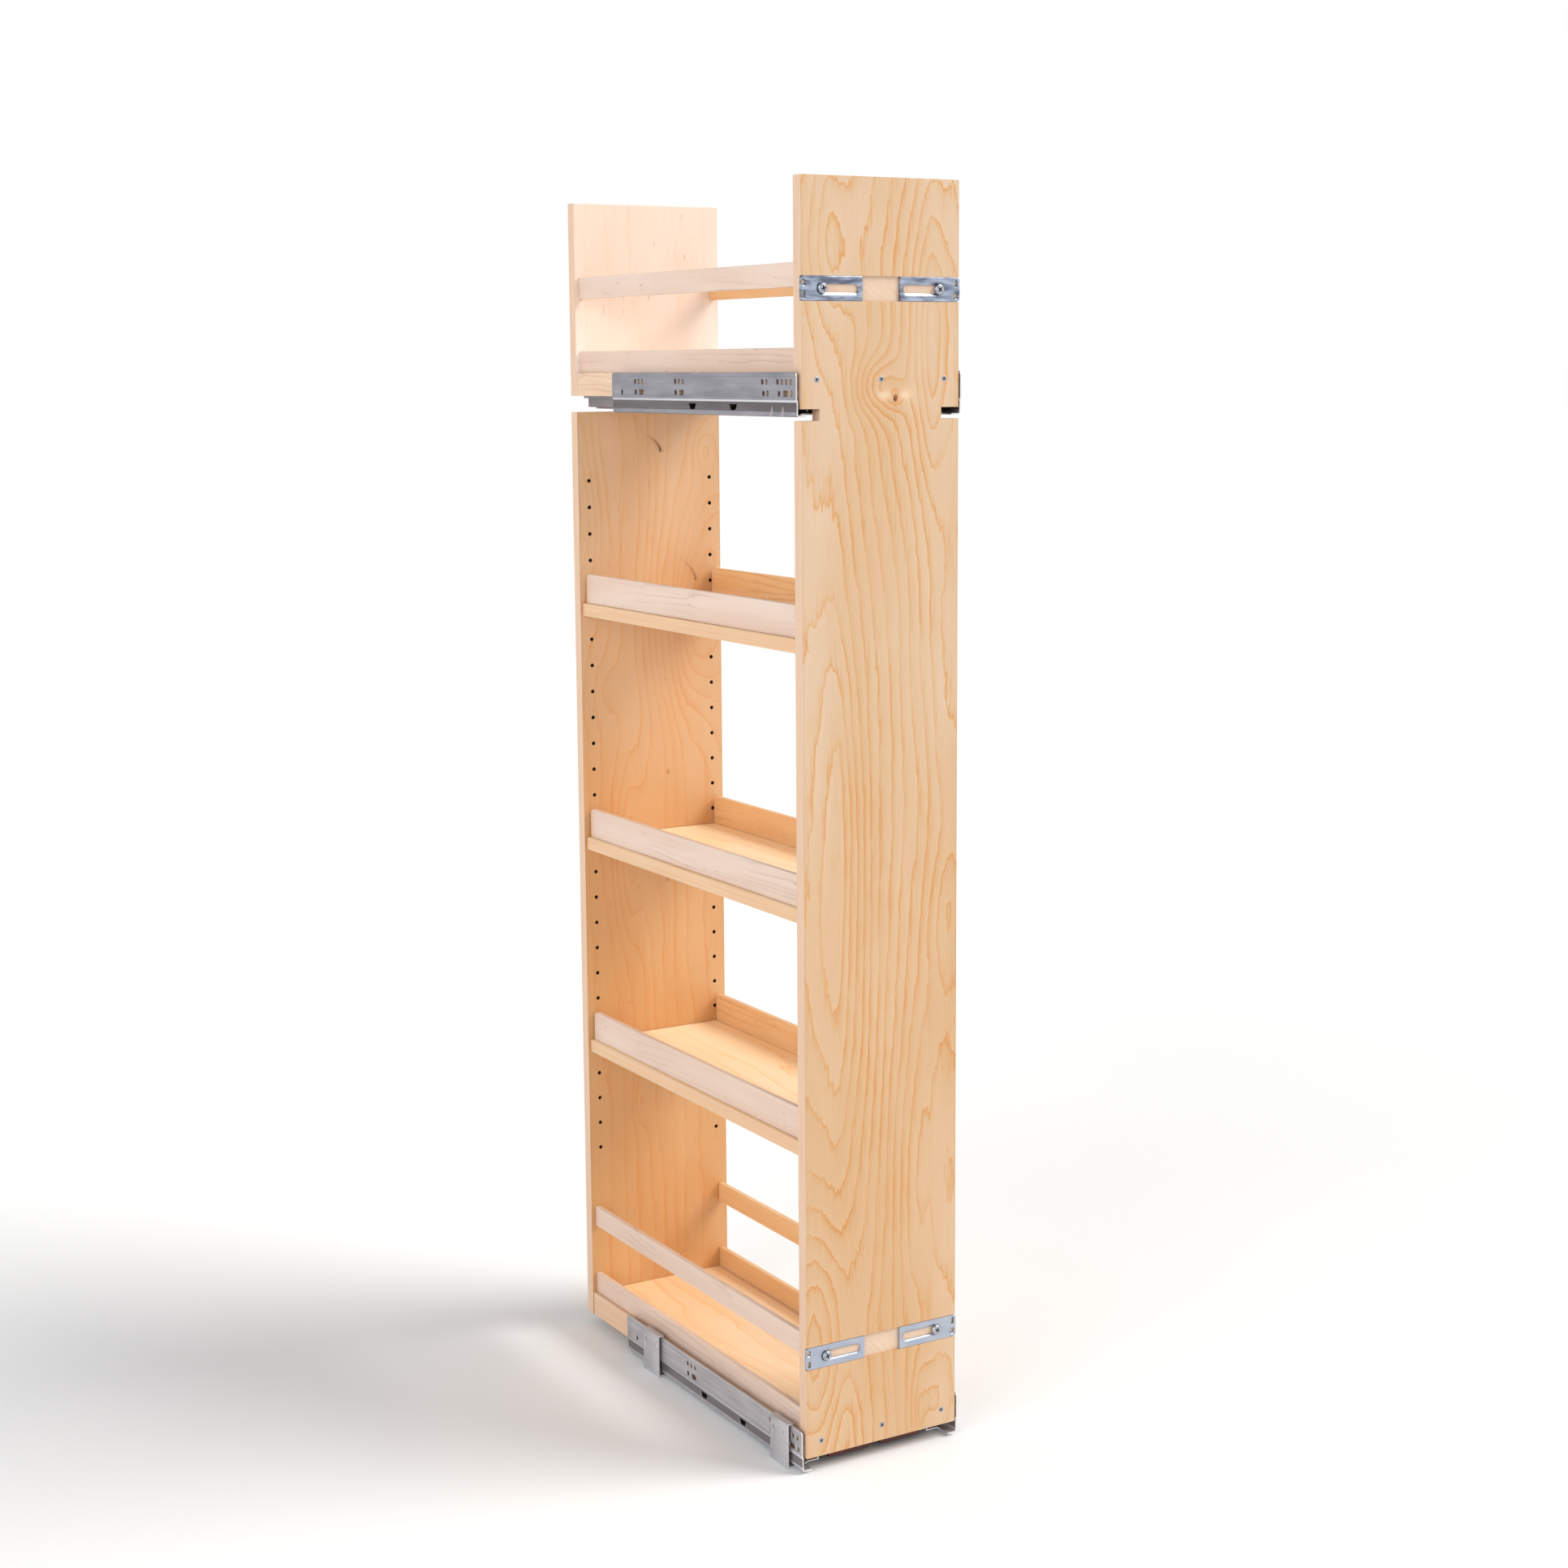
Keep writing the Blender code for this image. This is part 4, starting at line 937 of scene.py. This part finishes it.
for level_name in ("upper", "lower"):
    for side_sign, side_label in ((-1, "left"), (1, "right")):
        build_bracket(level_name, side_sign, side_label)
        build_bracket_screw(level_name, side_label, 0.35 if side_sign < 0 else 0.9)
build_panel_screws()
build_shelf_pins()


# ---- Slide details ---------------------------------------------------------------------------
RAIL_LEG_THICKNESS = 1.0 * MM
# A tab's corners as (Y from its middle, height above the rail's underside, share of its full reach)
TAB_REACH = 4.0 * MM
TAB_CORNERS = ((-3.0 * MM, 0.8 * MM, 1.0), (3.2 * MM, 1.4 * MM, 0.30), (-0.8 * MM, 10.5 * MM, 0.32))
TAB_FROM_RAIL_FRONT = (27 * MM, 49 * MM)
RIVET_RADIUS = 1.5 * MM
RIVET_HEIGHT = 38.5 * MM               # above the spacer's foot
RIVET_OFFSETS = (("front", (-9.5 * MM, 13.5 * MM)), ("rear", (-9.8 * MM, -1.0 * MM)))


def build_lanced_tab(name, side, y, foot_z, body):
    """A small triangular tongue pressed out of the rail's leg."""
    bm = bmesh.new()
    surface = side * (abs(UPPER_RAIL_LOW.x) - RAIL_LEG_THICKNESS)
    out = side * TAB_REACH
    back = [bm.verts.new((surface, y + along, foot_z + up)) for along, up, _ in TAB_CORNERS]
    front = [bm.verts.new((surface + out * lift, y + along, foot_z + up))
             for along, up, lift in TAB_CORNERS]
    bm.faces.new(back)
    bm.faces.new(front)
    join_rings(bm, back, front)
    new_piece(name, bm, body, TAB_ZINC, smooth=20)


def build_rivet(name, side, x, y, z, radius, body):
    """A low domed rivet head."""
    bm = bmesh.new()

    def place(a, b, depth):
        return (x + side * depth, y + a, z + b)

    profile = [(radius, -0.1 * MM), (radius * 0.92, 0.15 * MM), (radius * 0.65, 0.32 * MM),
               (radius * 0.25, 0.4 * MM)]
    rings = stack(bm, lambda r: circle(r, 16), profile, place)
    bm.faces.new(rings[0])
    bm.faces.new(rings[-1])
    new_piece(name, bm, body, SCREW_ZINC)


for side_sign, side_label in ((-1, "left"), (1, "right")):
    for index, distance in enumerate(TAB_FROM_RAIL_FRONT):
        build_lanced_tab(f"lanced_tab_{side_label}_{index + 1}", side_sign, UPPER_RAIL_LOW.y + distance,
                         UPPER_RAIL_LOW.z, "cabinet_rails")
    for end_name, offsets in RIVET_OFFSETS:
        spacer_low, spacer_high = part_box(f"slide_spacer_{end_name}_{side_label}")
        face_x = spacer_low.x if side_sign < 0 else spacer_high.x
        middle_y = (spacer_low.y + spacer_high.y) / 2
        for index, offset in enumerate(offsets):
            build_rivet(f"spacer_rivet_{end_name}_{side_label}_{index + 1}", side_sign, face_x,
                        middle_y + offset, spacer_low.z + RIVET_HEIGHT, RIVET_RADIUS, "cabinet_rails")


# ---- Floor, light and camera -----------------------------------------------------------------
WALL_LIGHT, CEILING_LIGHT = 1.0, 0.40
KEY_DIRECTION, KEY_LIGHT, KEY_SPREAD = (0.70, -0.46, 0.78), 0.80, 34
FILL_DIRECTION, FILL_LIGHT, FILL_SPREAD = (-0.85, -0.35, 0.38), 0.36, 40
KEY_COLOR = (1.0, 0.975, 0.935)
FLOOR_RADIUS, FLOOR_SIDES = 60.0, 96
CAMERA_PLACE = (-1.4605, -2.5099, 1.1978)
CAMERA_YAW, CAMERA_PITCH, CAMERA_ROLL = 0.538, -0.151, -0.0065
CAMERA_LENS, CAMERA_SHIFT_Y = 58.35, -0.020


def build_floor():
    """A wide pale floor, a hair below the spacers' feet."""
    s = Surface("studio_floor")
    tone = s.noise(s.point, (1.3, 1.3, 1.3), detail=2)
    s.set(Base_Color=s.mix(s.map(tone, 0.3, 0.7), srgb(240, 241, 242), srgb(238, 239, 241)), Roughness=0.9)
    bm = bmesh.new()
    bm.faces.new([bm.verts.new((a, b, 0)) for a, b in circle(FLOOR_RADIUS, FLOOR_SIDES)])
    mesh = bpy.data.meshes.new("studio_floor")
    bm.to_mesh(mesh)
    bm.free()
    mesh.materials.append(s.material)
    floor = bpy.data.objects.new("studio_floor", mesh)
    floor.location.z = -0.5 * MM
    bpy.context.scene.collection.objects.link(floor)


def distant_light(name, direction, strength, spread, color=(1, 1, 1)):
    """A large far light.

    strength is what a white card facing it returns, and spread its apparent size in degrees.
    """
    light = bpy.data.lights.new(name, "SUN")
    light.energy = strength * math.pi
    light.angle = math.radians(spread)
    light.color = color
    obj = bpy.data.objects.new(name, light)
    obj.rotation_euler = (-Vector(direction)).to_track_quat("-Z", "Y").to_euler()
    bpy.context.scene.collection.objects.link(obj)


def build_light():
    """White surroundings that dim overhead, a soft key from the right, and a fill from the left."""
    world = bpy.data.worlds.new("studio")
    bpy.context.scene.world = world
    world.use_nodes = True
    n = Nodes(world.node_tree)
    direction = n.add("ShaderNodeTexCoord").outputs["Generated"]
    _, _, up = n.axes(direction)
    background = world.node_tree.nodes["Background"]
    background.inputs["Color"].default_value = (1.0, 1.0, 1.0, 1)
    strength = n.map(up, 0.10, 0.75, WALL_LIGHT, CEILING_LIGHT, smooth=True)
    n.feed(background.inputs["Strength"], strength)
    distant_light("key", KEY_DIRECTION, KEY_LIGHT, KEY_SPREAD, KEY_COLOR)
    distant_light("fill", FILL_DIRECTION, FILL_LIGHT, FILL_SPREAD)


def build_camera():
    """A standing viewer's camera, in front of the unit and to its left."""
    yaw, pitch, roll = CAMERA_YAW, CAMERA_PITCH, CAMERA_ROLL
    ahead = Vector((math.sin(yaw) * math.cos(pitch), math.cos(yaw) * math.cos(pitch), math.sin(pitch)))
    level_right = Vector((math.cos(yaw), -math.sin(yaw), 0))
    level_up = level_right.cross(ahead)
    right = math.cos(roll) * level_right + math.sin(roll) * level_up
    up = math.cos(roll) * level_up - math.sin(roll) * level_right
    data = bpy.data.cameras.new("camera")
    data.sensor_width = 36
    data.lens = CAMERA_LENS
    data.shift_y = CAMERA_SHIFT_Y
    data.clip_end = 200
    camera = bpy.data.objects.new("camera", data)
    turned = Matrix((right, up, -ahead)).transposed().to_4x4()
    camera.matrix_world = Matrix.Translation(CAMERA_PLACE) @ turned
    bpy.context.scene.collection.objects.link(camera)
    bpy.context.scene.camera = camera


build_floor()
build_light()
build_camera()
bpy.context.scene.view_settings.view_transform = "Standard"
